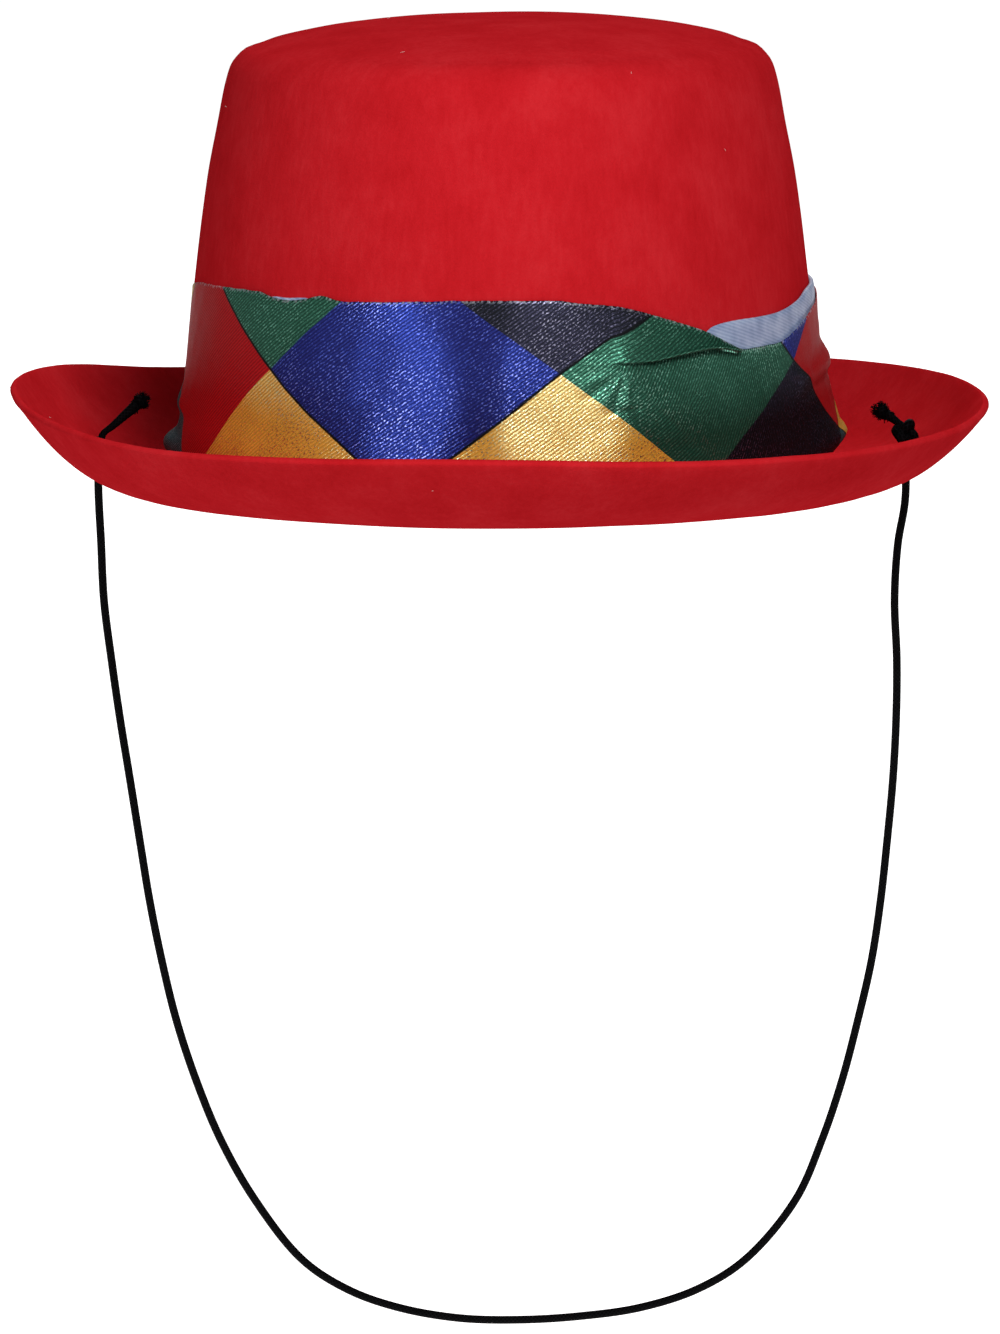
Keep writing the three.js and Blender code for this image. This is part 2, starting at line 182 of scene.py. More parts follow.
# %% Grid skin and joined pieces
def skin(name, columns, outline_closed, layers={}):
    """A closed mesh from columns of points, in millimetres, with a UV layer for each grid in layers."""
    count, rows = columns.shape[:2]
    c, r = np.meshgrid(np.arange(count), np.arange(rows if outline_closed else rows - 1), indexing="ij")
    c, r = c.ravel(), r.ravel()
    next_c, next_r = (c + 1) % count, (r + 1) % rows
    corners = [c * rows + r, next_c * rows + r, next_c * rows + next_r, c * rows + next_r]
    mesh = bpy.data.meshes.new(name)
    mesh.from_pydata((columns.reshape(-1, 3) * MM).tolist(), [], np.stack(corners, axis=1).tolist())
    for layer, grid in layers.items():
        places = np.stack([grid[c, r], grid[c + 1, r], grid[c + 1, next_r], grid[c, next_r]], axis=1)
        mesh.uv_layers.new(name=layer).data.foreach_set("uv", (places * MM).ravel())
    piece = put(name, mesh)
    close(piece)
    return piece


def close(piece, same_point=0.00001):
    """Merges points that fall together, fills open ends, and turns every face outward."""
    mesh = bmesh.new()
    mesh.from_mesh(piece.data)
    bmesh.ops.remove_doubles(mesh, verts=mesh.verts, dist=same_point)
    bmesh.ops.holes_fill(mesh, edges=mesh.edges)
    bmesh.ops.recalc_face_normals(mesh, faces=mesh.faces)
    mesh.to_mesh(piece.data)
    mesh.free()
    piece.data.shade_smooth()


def joined(name, pieces):
    """One piece from several."""
    mesh = bmesh.new()
    for piece in pieces:
        mesh.from_mesh(piece.data)
        bpy.data.objects.remove(piece)
    whole = put(name, bpy.data.meshes.new(name))
    mesh.to_mesh(whole.data)
    mesh.free()
    whole.data.shade_smooth()
    return whole


def dress(piece, material):
    """Gives a piece its material, and lets it ride on the hat's one body."""
    piece.data.materials.append(material)
    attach(piece, "root")
    print(piece.name, "faces:", len(piece.data.polygons))


# %% [markdown]
# ## The chin cord
# A real chin cord is round braided elastic: a rubber core in a sleeve of black polyester yarn, 2.2 mm
# thick. It is limp, so it hangs in one loop from the two holes. A tube is swept along the same points
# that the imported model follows. A hair curve would be quicker, but a mesh can carry the braid.

# %% The cord's route and a tube
CORD = 2.2
CORD_STEP = 1.3
CORD_SIDES = 16
CORD_ROUTE = [
    (-107.2, 0, -3), (-106.6, 0, -16), (-105.9, 0, -32), (-104, 0.3, -48), (-101.8, 0.5, -64),
    (-99.3, 0.7, -80), (-96.7, 0.9, -97), (-94.2, 1.1, -113), (-91.1, 1.4, -129), (-87.2, 1.7, -145.6),
    (-82, 2.1, -162), (-75.4, 2.7, -178.5), (-66.3, 3.4, -195), (-53.6, 4.5, -211.6),
    (-41.1, 5.6, -220.1), (-27.4, 6.7, -225.2), (-11.2, 8.1, -228.3), (5, 9.4, -229), (21.2, 10.8, -228.3),
    (37.5, 12.1, -226.2), (53, 13.4, -221.4), (66, 14.5, -213.4), (79.5, 15.7, -197.3),
    (86.6, 16.3, -181), (92, 16.7, -164.6), (96.2, 17.1, -148.2), (99.8, 17.4, -132), (102.2, 17.6, -115.5),
    (103.9, 17.7, -99), (105.3, 17.8, -83), (106.1, 17.9, -66.6), (106.2, 17.9, -50.3), (105.5, 17.8, -34),
    (106.3, 17.9, -19), (108.2, 18, -7),
]
HOLES = {"left": CORD_ROUTE[0][:2], "right": CORD_ROUTE[-1][:2]}
KNOT_FOOT = {"left": 5.8, "right": 7.2}  # height of the brim's face at each hole


def tube(name, line, radius, sides):
    """A tube along a line of points. Its cloth coordinates run round it and along it."""
    line = np.asarray(line, float)
    ahead = np.gradient(line, axis=0)
    ahead /= np.linalg.norm(ahead, axis=1)[:, None]
    side = np.cross(ahead[0], [0.3, 0.9, 0.2])
    sidewise = []
    for direction in ahead:
        side = side - direction * side.dot(direction)
        side /= np.linalg.norm(side)
        sidewise.append(side)
    sidewise = np.array(sidewise)
    across = np.cross(ahead, sidewise)
    radius = np.broadcast_to(radius, len(line))
    turn = np.linspace(0, 2 * math.pi, sides + 1)
    rim = [math.cos(t) * sidewise + math.sin(t) * across for t in turn[:-1]]
    columns = np.stack([line + ring * radius[:, None] for ring in rim])
    along = np.concatenate([[0], np.cumsum(np.linalg.norm(np.diff(line, axis=0), axis=1))])
    places = np.stack(np.meshgrid(turn * CORD / 2, along, indexing="ij"), axis=2)
    return skin(name, columns, False, {"cloth": places})


cord_ends = {side: (*HOLES[side], KNOT_FOOT[side] + 0.6) for side in HOLES}
cord_line = smooth_line([cord_ends["left"], *CORD_ROUTE, cord_ends["right"]], CORD_STEP)
chin_cord = tube("braided_chin_cord", cord_line, CORD / 2, CORD_SIDES)

# %% [markdown]
# ## The two knots
# Each end comes up through the brim, is tied in a tight overhand knot that can't slip back, and is cut
# off short. The cut braid opens into a small black tuft. An overhand knot is an opened trefoil, which has
# a formula, so its strands cross as they do in a real one. The tuft is many thin yarns over a soft core.

# %% Overhand knots with frayed tails
KNOT_SCALE = {"left": 0.74, "right": 0.94}  # size of the trefoil: its strands just touch
KNOT_MIDDLE = 2.9  # its middle's height over the brim, at the left
KNOT_TOP = 5.0  # where the tail begins, over the brim
STRAND = {"left": 1.1, "right": 1.35}  # radius of the strand in the knot
NECK = 0.85  # and where the tail leaves it
TAIL_END = {"left": 1.5, "right": 1.4}  # and where the braid opens
KNOT_OPEN = 0.32  # how much of the trefoil is left open, in radians at each end
KNOT_STEP = 0.45  # between points along the strand
YARN = 0.13  # radius of a yarn of the tuft
YARNS = 230
TAILS = {
    "left": [(1, 0.2, 1.2), (4.2, 0.9, 4.1), (7.4, 1.8, 6.9), (10.2, 2.7, 9.3)],
    "right": [(-0.8, 0.2, 0.6), (-2, 0.5, 1.5), (-3.5, 0.8, 2.6), (-5.2, 1.2, 3.7)],
}
TUFT = {"left": 2.45, "right": 2.6}  # radius of each tuft
KNOT_TURN = {"left": 2.2, "right": 0.5}  # how each knot is turned on its hole, in radians


def overhand_knot(side):
    """The strand of a knot, from the hole through an open trefoil and out along its tail."""
    t = np.linspace(math.pi + KNOT_OPEN, 3 * math.pi - KNOT_OPEN, 40)
    up = np.sin(t) + 2 * np.sin(2 * t)
    out = np.cos(t) - 2 * np.cos(2 * t)
    depth = -np.sin(3 * t) * STRAND[side] / (CORD / 2) / KNOT_SCALE[side]
    turn = KNOT_TURN[side]
    local = np.stack([out * math.cos(turn) - depth * math.sin(turn),
                      out * math.sin(turn) + depth * math.cos(turn), up], axis=1) * KNOT_SCALE[side]
    hole = np.array(HOLES[side])
    middle = np.array([*hole, KNOT_FOOT[side] + KNOT_MIDDLE * KNOT_SCALE[side] / KNOT_SCALE["left"]])
    top = np.array([*hole, KNOT_FOOT[side] + KNOT_TOP])
    start = [(*hole, KNOT_FOOT[side] - 0.5), (*hole, KNOT_FOOT[side] + 0.6)]
    return smooth_line([*start, *(middle + local), *(top + np.array(TAILS[side]))], KNOT_STEP)


def tuft(side, root, ahead):
    """The yarns of the cut end, which fan out and curl back round a soft core."""
    size = TUFT[side]
    middle = root + ahead * size * 0.35
    yarns = []
    for _ in range(YARNS):
        way = chance.normal(size=3)
        way = way / np.linalg.norm(way) + ahead * 0.35
        tip = middle + way * size * chance.uniform(0.8, 1.08)
        bend = middle + way * size * 0.55 + chance.normal(size=3) * size * 0.16
        start = root - ahead * 0.8 + chance.normal(size=3) * 0.6
        line = smooth_line([start, (start + bend) / 2, bend, tip], size / 3)
        yarns.append(tube("yarn", line, np.linspace(YARN, YARN * 0.7, len(line)), 4))
    core_line = smooth_line([root, middle, middle + ahead * size * 0.75], size / 7)
    share = np.linspace(-0.9, 1, len(core_line))
    yarns.append(tube("core", core_line, 0.3 + size * 0.62 * np.sqrt(np.clip(1 - share ** 2, 0, 1)), 12))
    return yarns


knots = []
for side in HOLES:
    strand = overhand_knot(side)
    tail = sum(np.linalg.norm(np.diff([(0, 0, 0), *TAILS[side]], axis=0), axis=1)) / KNOT_STEP
    places = [0, 4, 8, len(strand) - 1.15 * tail, len(strand) - 0.8 * tail, len(strand) - 1]
    radius = [CORD / 2, CORD / 2, STRAND[side], STRAND[side], NECK, TAIL_END[side]]
    parts = [tube("strand", strand, np.interp(np.arange(len(strand)), places, radius), 14)]
    ahead = strand[-1] - strand[-4]
    parts += tuft(side, strand[-1], ahead / np.linalg.norm(ahead))
    knots.append(joined(f"overhand_knot_{side}", parts))
print("knots:", [(knot.name, len(knot.data.polygons)) for knot in knots])

# %% [markdown]
# ## Black braided elastic
# Polyester yarn, braided over rubber: dull black, with a row of small slanted stitches that catch the
# light. The real braid has about 2 plaits a millimetre, too fine to see here, so it is drawn at 1.1 mm.
# Two crossing waves in the cord's own coordinates make the plaits' height, and the colour follows it:
# painted shade in the grooves and a painted highlight on the crests.

# %% Material: braided elastic
PLAIT = 1.1 * MM

elastic, add = new_material("black_braided_elastic")
cloth = add("UVMap", uv_map="cloth")
place = add("SeparateXYZ", [cloth])
waves = []
for kind in ("ADD", "SUBTRACT"):
    slant = add(kind, [place.outputs[0], place.outputs[1]])
    waves.append(add("SINE", [add("MULTIPLY", [slant, 2 * math.pi / PLAIT])]))
plaits = add("MAXIMUM", waves)
where = add("TexCoord").outputs["Object"]
dust = add("TexNoise", {"Vector": where, "Scale": 900, "Detail": 3})
height = add("MULTIPLY_ADD", [dust, 0.6, plaits])
# Painted shade and highlight: the colour is darker in the plaits' grooves and lighter on their crests.
shade = add("MapRange", [height, 0.2, 1.3])
colour = add("ValToRGB", {"Fac": shade}, [
    (0.0, linear("#010101")), (0.75, linear("#040405")), (1.0, linear("#101013")),
])
bump = add("Bump", {"Height": height, "Strength": 0.5, "Distance": 0.00012})
shader = add("BsdfPrincipled", {
    "Base Color": colour, "Roughness": 0.7, "Specular IOR Level": 0.03, "Normal": bump,
})
add("OutputMaterial", [shader])

for piece in (chin_cord, *knots):
    dress(piece, elastic)
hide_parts("chin_cord")
for knot, side in zip(knots, HOLES):
    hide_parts(f"knot_{side}")

# %% [markdown]
# ## The felt hat
# Wool felt is steamed, pulled over a wooden block and pressed, so crown and brim are one skin 2 mm thick
# with no seam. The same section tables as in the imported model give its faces. Here they are drawn as fair
# curves on a fine grid, the lip is rounded as worn felt is, and a soft unevenness of a tenth of a
# millimetre takes off the look of a lathe. Sculpting could do that too, but a formula can be repeated.

# %% Felt: section and lip tables
FELT = 2.0
HEAD_WIDTH = 169
HEAD_LENGTH = 196
CROWN_HEIGHT = 121
BRIM_WIDTH = 42.1
BRIM_RISE = 20
CROWN_FOOT = HEAD_WIDTH / 2 + FELT
OVAL = (HEAD_LENGTH - HEAD_WIDTH) / 2
TOP_EDGE = 0.77  # share of the foot's half width at which the oval is full
RIGHT_IN = 1.0  # the brim is this much narrower at its right tip
LEAN = 0.011  # the top is a little higher on the right, per millimetre
LEAN_FROM = 0.7  # share of the height where that begins
BRIM_TILT = 0.003  # and so is the brim
TILT_OVER = 20  # millimetres of brim that the tilt takes to begin
FELT_COLUMNS = 288
FELT_STEP = 1.5
FELT_LUMPS = [(46, 3, 0.06), (17, 5, 0.03)]  # size, seed, height

# The crown's outer face, from the middle of the top: share of the foot's half width, share of the height.
CROWN = [
    (0, 1.003), (0.289, 1), (0.52, 0.984), (0.63, 0.97), (0.7, 0.958), (0.747, 0.9455),
    (0.786, 0.936), (0.809, 0.921), (0.8266, 0.904), (0.844, 0.865), (0.867, 0.781), (0.902, 0.645),
    (0.942, 0.421), (0.972, 0.186), (0.991, 0.05),
]
# The brim's upper face, out to the lip: share of its width, share of its rise.
BRIM = [
    (0.012, 0.15), (0.045, 0.05), (0.11, 0), (0.27, 0), (0.4, 0.04), (0.52, 0.13), (0.64, 0.27),
    (0.76, 0.462), (0.88, 0.706), (1, 1),
]
# The lip's rise round the hat: degrees from the front towards the right, share of the brim's rise.
LIP = [
    (0, 0.93), (22.5, 0.85), (45, 0.825), (67.5, 0.89), (90, 1), (112.5, 1.06), (135, 1.03),
    (157.5, 0.915), (180, 0.84), (202.5, 0.83), (225, 0.94), (247.5, 1.195), (270, 1.23),
    (292.5, 1.05), (315, 0.885), (337.5, 0.9),
]


def crown_out(height):
    """Half the crown's width at a height, out to its outer face."""
    rows = CROWN[::-1]
    up = (np.asarray(height) - FELT) / CROWN_HEIGHT
    return CROWN_FOOT * np.interp(up, [up for _, up in rows], [out for out, _ in rows])


def soft_lumps(points, size, seed):
    """A smooth, random, repeatable shift of about one unit for each point, with lumps of a size."""
    lumps = np.random.default_rng(seed)
    shift = np.zeros_like(points)
    for _ in range(14):
        wave = lumps.normal(size=3)
        wave *= 2 * math.pi / (np.linalg.norm(wave) * size * lumps.uniform(0.7, 1.6))
        shift += np.sin(points @ wave + lumps.uniform(0, 2 * math.pi))[..., None] * lumps.normal(size=3)
    return shift / 3.7


# %% Felt: the skin
def felt_section():
    """The felt's outline in section: inner face from the top down, round the lip, outer face back up."""
    crown = [(out * CROWN_FOOT, FELT + up * CROWN_HEIGHT) for out, up in CROWN]
    brim = [(CROWN_FOOT + out * BRIM_WIDTH, FELT + up * BRIM_RISE) for out, up in BRIM]
    outer = smooth_line([*crown, *brim], FELT_STEP)
    along = np.gradient(outer, axis=0)
    along /= np.linalg.norm(along, axis=1)[:, None]
    along[0] = (1, 0)
    inner = outer + np.stack([along[:, 1], -along[:, 0]], axis=1) * FELT
    middle = (outer[-1] + inner[-1]) / 2
    half = (inner[-1] - outer[-1]) / 2
    turns = np.radians([-62, -34, -8, 20, 48, 72])
    lip = [middle + half * math.sin(-t) + along[-1] * math.cos(t) * FELT * 0.42 for t in turns]
    return np.concatenate([inner, lip, outer[::-1]])


def draw_to_hat(section, degrees):
    """Turns the round section into the oval hat, with the brim rising and falling."""
    turn = np.radians(degrees)[:, None]
    radius, height = section[None, :, 0], section[None, :, 1]
    reach = radius / (CROWN_FOOT * TOP_EDGE)
    longer = OVAL * reach / (1 + reach ** 16) ** (1 / 16)
    share = np.clip((radius - CROWN_FOOT) / BRIM_WIDTH, 0, 1)
    rise = np.interp(share, [out for out, _ in BRIM], [up for _, up in BRIM]) * (radius > CROWN_FOOT)
    lift = (round_the_hat(LIP, 1, degrees)[:, None] - 1) * rise * BRIM_RISE
    x = radius * np.sin(turn) - RIGHT_IN * share ** 2 * np.clip(np.sin(turn), 0, 1) ** 2
    over = 1 - LEAN_FROM
    lean = LEAN * x * np.clip((height - FELT) / CROWN_HEIGHT - LEAN_FROM, 0, over) / over
    lean += BRIM_TILT * x * np.clip((radius - CROWN_FOOT) / TILT_OVER, 0, 1)
    return np.stack([x, -(radius + longer) * np.cos(turn), height + lift + lean], axis=2)


degrees = np.arange(FELT_COLUMNS) * 360 / FELT_COLUMNS
felt_points = draw_to_hat(felt_section(), degrees)
felt_points += sum(soft_lumps(felt_points, size, seed) * high for size, seed, high in FELT_LUMPS)
felt_hat = skin("moulded_felt_hat", felt_points, False)
print("felt hat:", [round(value * 1000, 1) for value in felt_hat.dimensions], "mm")

# %% [markdown]
# ## Where the cord meets the felt
# The knots have been pulled against the brim for years of children's heads: each sits in a shallow dimple,
# and behind the right one the felt has taken a faint crease. Points near are moved, with the amount fading
# out like a thumb print. Then the holes are really punched through, with a Boolean that is applied.

# %% Felt: dimples, crease and holes
DIMPLES = [  # along a line: x, y, x, y, width and depth in millimetres, share it fades at its end
    (107.6, 18, 107.9, 19, 4.6, 0.5, 0),
    (-106.8, 0, -107, 1, 4.6, 0.5, 0),
    (107.6, 26, 98, 62, 1.5, 0.49, 0.6),
]
PUNCH_ROOM = 0.3  # between cord and hole


def press_dimples(piece):
    """Presses the brim down along each line of the table."""
    count = len(piece.data.vertices)
    points = np.empty(count * 3, np.float32)
    piece.data.vertices.foreach_get("co", points)
    points = points.reshape(-1, 3) / MM
    for x0, y0, x1, y1, width, depth, fades in DIMPLES:
        start, way = np.array([x0, y0]), np.array([x1 - x0, y1 - y0])
        share = np.clip((points[:, :2] - start) @ way / (way @ way), 0, 1)
        off = np.linalg.norm(points[:, :2] - start - share[:, None] * way, axis=1)
        points[:, 2] -= depth * (1 - fades * share) * np.exp(-(off / width) ** 2)
    piece.data.vertices.foreach_set("co", (points * MM).ravel())
    piece.data.update()


def punch_holes(piece):
    """Cuts a round hole for the cord at each place, and applies the cut."""
    for side, (x, y) in HOLES.items():
        line = np.array([(x, y, -12.0), (x, y, 3.0), (x, y, 18.0)])
        punch = tube(f"punch_{side}", line, CORD / 2 + PUNCH_ROOM, 24)
        cut = piece.modifiers.new("hole", "BOOLEAN")
        cut.operation, cut.solver, cut.object = "DIFFERENCE", "EXACT", punch
        bpy.context.view_layer.update()
        seen = piece.evaluated_get(bpy.context.evaluated_depsgraph_get())
        holed = bpy.data.meshes.new_from_object(seen)
        piece.modifiers.clear()
        piece.data = holed
        bpy.data.objects.remove(punch)
    piece.data.materials.clear()
    piece.data.shade_smooth()


press_dimples(felt_hat)
punch_holes(felt_hat)
print("felt faces after the holes:", len(felt_hat.data.polygons))

# %% [markdown]
# ## Red wool felt
# Felt is matted wool: no thread, no shine, a dense nap that scatters light the same way all over and keeps
# shadows soft. Up close it shows fine fibres a tenth of a millimetre thick, brushed down the crown by the
# blocking, and cloudy patches where the dye took more or less. The fibres are drawn 1 mm wide so that they
# show, and the surface has no shine at all.

# %% Material: moulded wool felt
wool_felt, add = new_material("red_moulded_wool_felt")
where = add("TexCoord").outputs["Object"]
brushed = add("Mapping", {"Vector": where, "Scale": (1.0, 1.0, 0.22)})
clouds = add("TexNoise", {"Vector": where, "Scale": 55, "Detail": 4, "Roughness": 0.6})
streaks = add("TexNoise", {"Vector": brushed, "Scale": 620, "Detail": 3, "Roughness": 0.55})
fibres = add("TexNoise", {"Vector": where, "Scale": 1500, "Detail": 4, "Roughness": 0.7})
mixed = add("MULTIPLY_ADD", [streaks, 0.45, clouds])
mixed = add("MULTIPLY_ADD", [fibres, 0.35, mixed])
shade = add("MapRange", [mixed, 0.62, 1.18])
colour = add("ValToRGB", {"Fac": shade}, [
    (0.0, linear("#c41a21")), (0.5, linear("#ce2028")), (1.0, linear("#d62a31")),
])
nap = add("MULTIPLY_ADD", [streaks, 0.5, fibres])
bump = add("Bump", {"Height": nap, "Strength": 0.35, "Distance": 0.0004})
shader = add("BsdfPrincipled", {
    "Base Color": colour, "Roughness": 1.0, "Specular IOR Level": 0.0, "Normal": bump,
})
add("OutputMaterial", [shader])

dress(felt_hat, wool_felt)
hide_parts("felt_body")

# %% [markdown]
# ## The satin band
# A strip of printed satin, 51 mm wide when its edges are turned in, is pulled round the foot of the crown.
# It isn't sewn down all round, so its top edge waves, it has a tuck at the front right where too much
# cloth came together, and it rolls outward over the brim at both sides. The stand-off table below says,
# for places round the hat, how far the cloth stands off the felt at fourteen levels. A cloth simulation
# would drape it some other way each time its settings change. The photograph's own folds need a table.

# %% Band: tables
BAND_FOOT = 7.0
BAND_COLUMNS = 720
SATIN = 0.35  # two layers of satin at the turned edge
# The levels of the stand-off table, as shares of the band's height.
LEVELS = [0.0, 0.06, 0.11, 0.16, 0.21, 0.255, 0.30, 0.45, 0.53, 0.58, 0.63, 0.68, 0.82, 1.0]
# Height of the band's top edge, round the hat.
TOP = [
    (-90, 52), (-83, 53.6), (-76.2, 54.8), (-64.2, 55.4), (-55.7, 55.7), (-49.5, 55.7), (-45.5, 54.6),
    (-42, 54.3), (-38.5, 54.8), (-34.6, 56.1), (-30.2, 55.1), (-26.1, 55.2), (-16.5, 55.7), (-7.4, 56.2),
    (5, 56.3), (10.5, 56.1), (14.1, 55.4), (17.8, 54.9), (21.6, 54.2), (25.4, 52.9), (29.4, 51.1),
    (33.5, 49.3), (37.9, 47.1), (42.5, 44.3), (46.2, 41.9), (48.5, 41.1), (55.2, 41.3), (60.5, 41.8),
    (68.7, 45.1), (76, 47.7), (84, 49.4), (98, 52.5), (112, 55), (135, 55.6), (160, 56.4), (180, 55.8),
    (205, 56.6), (225, 55.2), (250, 53),
]
# At the front the band bows out in soft facets: degrees, stand-off. Its edges are held in by these shares.
FACETS = [
    (-50, 0.85), (-44, 0.9), (-36, 1.55), (-29, 1), (-22.5, 0.8), (-16, 1.05), (-10, 1.75), (-5, 2.3),
    (0, 2.25), (5, 1.35), (11, 0.85), (17, 1.3), (22, 2.1),
]
BOWED = [0.2, 0.5, 0.7, 0.85, 0.95, 1, 1, 1, 1, 1, 0.95, 0.85, 0.5, 0.1]
# How far the outer face stands off the felt, at each level.
STAND_OFF = sorted([
    *[(at, *[round(1 + (off - 1) * share, 2) for share in BOWED]) for at, off in FACETS],
    (-112, 1.4, 2.4, 2.6, 2.2, 1.4, 0.9, 0.7, 0.4, 0.4, 0.4, 0.4, 0.4, 0.4, 0.4),
    (-98, 1.6, 3.5, 3.5, 1.4, 0.8, 0.6, 0.8, 0.4, 0.4, 0.4, 0.4, 0.4, 0.4, 0.4),
    (-90, 1.7, 4.1, 3.9, 1.4, 0.7, 0.6, 1.4, 0.4, 0.35, 0.35, 0.35, 0.35, 0.35, 0.4),
    (-84, 1.5, 3.2, 2.8, 1.1, 0.6, 0.5, 1.3, 0.4, 0.35, 0.35, 0.35, 0.35, 0.35, 0.4),
    (-76, 1, 1.6, 1.4, 1, 0.7, 0.5, 0.8, 0.5, 0.4, 0.4, 0.4, 0.4, 0.4, 0.4),
    (-62, 0.8, 0.8, 0.8, 0.8, 0.8, 0.8, 0.8, 0.8, 0.8, 0.8, 0.8, 0.8, 0.7, 0.7),
    (26, 1.1, 1.4, 1.7, 1.8, 1.9, 2, 2.1, 2.3, 2.3, 2.2, 2.1, 2, 1.6, 1.2),
    (33, 1.1, 1.4, 1.6, 1.7, 1.8, 1.8, 1.9, 2, 2, 1.9, 1.8, 1.8, 1.5, 1.2),
    (42, 1.2, 1.3, 1.4, 1.4, 1.4, 1.4, 1.4, 1.4, 1.4, 1.4, 1.4, 1.4, 1.4, 1.3),
    (48, 1.3, 1.5, 1.6, 1.6, 1.6, 1.6, 1.6, 1.6, 1.6, 1.6, 1.6, 1.6, 1.6, 1.6),
    (60, 1.5, 1.9, 2, 1.9, 1.8, 1.8, 1.7, 1.6, 1.6, 1.6, 1.6, 1.6, 1.6, 1.7),
    (68, 1.9, 2.7, 3, 2.9, 2.6, 2.4, 2.2, 1.9, 1.9, 2.2, 2.3, 1.9, 1.7, 1.8),
    (76, 1.9, 3.3, 4.3, 4.4, 3.9, 3.5, 3, 2.3, 2.3, 3, 3.1, 2.2, 1.8, 1.9),
    (84, 1.6, 3, 5.2, 6, 5, 4.5, 3.9, 2.8, 2.6, 3.6, 3.6, 2.3, 1.8, 1.9),
    (90, 1.3, 2.7, 5.2, 6.9, 5.4, 4.8, 4.3, 3.1, 2.8, 3.8, 3.6, 2.3, 1.8, 1.9),
    (98, 1.3, 2.8, 5.4, 6.8, 5.5, 4.8, 4.2, 3, 2.6, 3.2, 2.9, 2, 1.7, 1.8),
    (112, 1.2, 2, 2.8, 3, 2.6, 2.3, 2, 1.6, 1.5, 1.5, 1.5, 1.4, 1.3, 1.4),
    (135, 1, 1.1, 1.2, 1.2, 1.2, 1.2, 1.2, 1.2, 1.2, 1.2, 1.2, 1.2, 1.2, 1.2),
    (158, 1, 1.2, 1.3, 1.4, 1.4, 1.4, 1.5, 1.6, 1.6, 1.5, 1.5, 1.4, 1.3, 1.2),
    (180, 1, 1.1, 1.1, 1.1, 1.1, 1.1, 1.1, 1.1, 1.1, 1.1, 1.1, 1.1, 1.1, 1.1),
    (205, 1, 1.2, 1.3, 1.3, 1.4, 1.4, 1.5, 1.5, 1.5, 1.4, 1.4, 1.3, 1.2, 1.2),
    (228, 1, 1.3, 1.4, 1.3, 1.2, 1.1, 1.1, 1, 1, 1, 1, 1, 1, 1.1),
])
# The tuck's fold line: share of the way up the band, and how far the flap above it stands proud.
TUCK = [
    (-60, 0.78, 0), (0, 0.75, 0), (15, 0.71, 0), (19.5, 0.7, 0), (21.5, 0.705, 0.6), (27, 0.745, 1.2),
    (32, 0.81, 1.5), (38, 0.895, 1.8), (42, 0.95, 1.8), (45, 0.98, 1.6), (46.6, 0.985, 1.2),
    (47.6, 0.985, 0), (60, 0.97, 0), (80, 0.85, 0), (100, 0.78, 0), (180, 0.78, 0), (240, 0.78, 0),
]
# Smaller creases: from and to as degrees and height, width below and above the crease, and height.
CREASES = [
    (18.3, 27.4, 24.6, 27.8, 0.5, 1.2, -0.42),
    (13.5, 34.5, 20.8, 38.2, 1, 0.9, 0.22),
    (14.5, 31, 20.6, 37, 0.8, 0.9, -0.3),
    (17, 29, 20.9, 36.2, 0.9, 0.8, 0.34),
    (19.6, 28, 21.4, 36, 0.7, 0.7, -0.3),
    (22.2, 28.5, 22, 36.2, 0.8, 0.8, 0.16),
    (13, 40.8, 19.8, 39.4, 1, 1, 0.24),
    (63, 32.5, 71, 31.6, 1, 2, 0.5),
    (-84, 26, -88, 14, 2, 2, -0.3),
    (179, 8, 179, 56, 0.7, 3, 0.5),
]

# %% [markdown]
# ## Cloth coordinates
# The print and the threads belong to the flat cloth, not to the hat, so the band carries three UV layers,
# all in metres. "cloth" is how far round and how far up the flat strip a point was. "threads" is the same
# turned along the twill lines, which are steeper to the right of the tuck. "rim" is the distance to the
# top edge, where the threads bend over the fold and glint.

# %% Band: surface
FIRST_DIAMOND = -45.3  # degrees where the front blue diamond's left corner is
DIAMOND_LEVEL = 36.4  # height of the diamonds' side corners
PUCKER = (21.0, 38.6)  # degrees and height where the tuck begins
# How much the print is drawn together above and below that level, round the hat.
STRETCH = [
    (-180, 1, 1.1), (-90, 1.09, 1.12), (-65, 1.09, 0.92), (-38, 0.97, 1.1), (-8, 1.03, 1), (6, 1.05, 1),
    (14, 1.1, 1.02), (25, 1.16, 1.02), (34, 1.1, 1.04), (50, 1, 1.26), (72, 1, 1.28), (84, 1, 1.5),
    (92, 1, 1.62), (105, 1, 1.3), (125, 1, 1.1),
]
# How much higher the print sits than that level, round the hat.
PRINT_RISE = [(-180, 0), (-60, 0), (-25, 0.3), (9.3, 1.4), (40, 0.4), (66, 0), (120, 0)]
PRINT_PUSH = 13.0  # how far the cloth is pushed forward, low at the right
PUSH_FROM, PUSH_FULL = 68, 86  # degrees where the push begins and is full
PUSH_FADES, PUSH_ENDS = 105, 120
PUSH_TOP, PUSH_LOW = 36, 18  # heights where it begins, going down, and is full
TWILL_LEFT = 34.0  # slant of the twill lines before the tuck and after it, in degrees
TWILL_RIGHT = 60.0
FAN_TOP = 60  # the steeper lines end at this ray from the pucker, in degrees


def arc(degrees):
    """Millimetres round the band from the first diamond's corner."""
    fine = np.radians(np.linspace(-200, 200, 4001))
    half_width = crown_out(DIAMOND_LEVEL) + 1.5
    speed = np.hypot(half_width * np.cos(fine), (half_width + OVAL) * np.sin(fine))
    run = np.concatenate([[0], np.cumsum((speed[1:] + speed[:-1]) / 2 * np.diff(fine))])
    return np.interp(np.radians(degrees), fine, run) - np.interp(np.radians(FIRST_DIAMOND), fine, run)


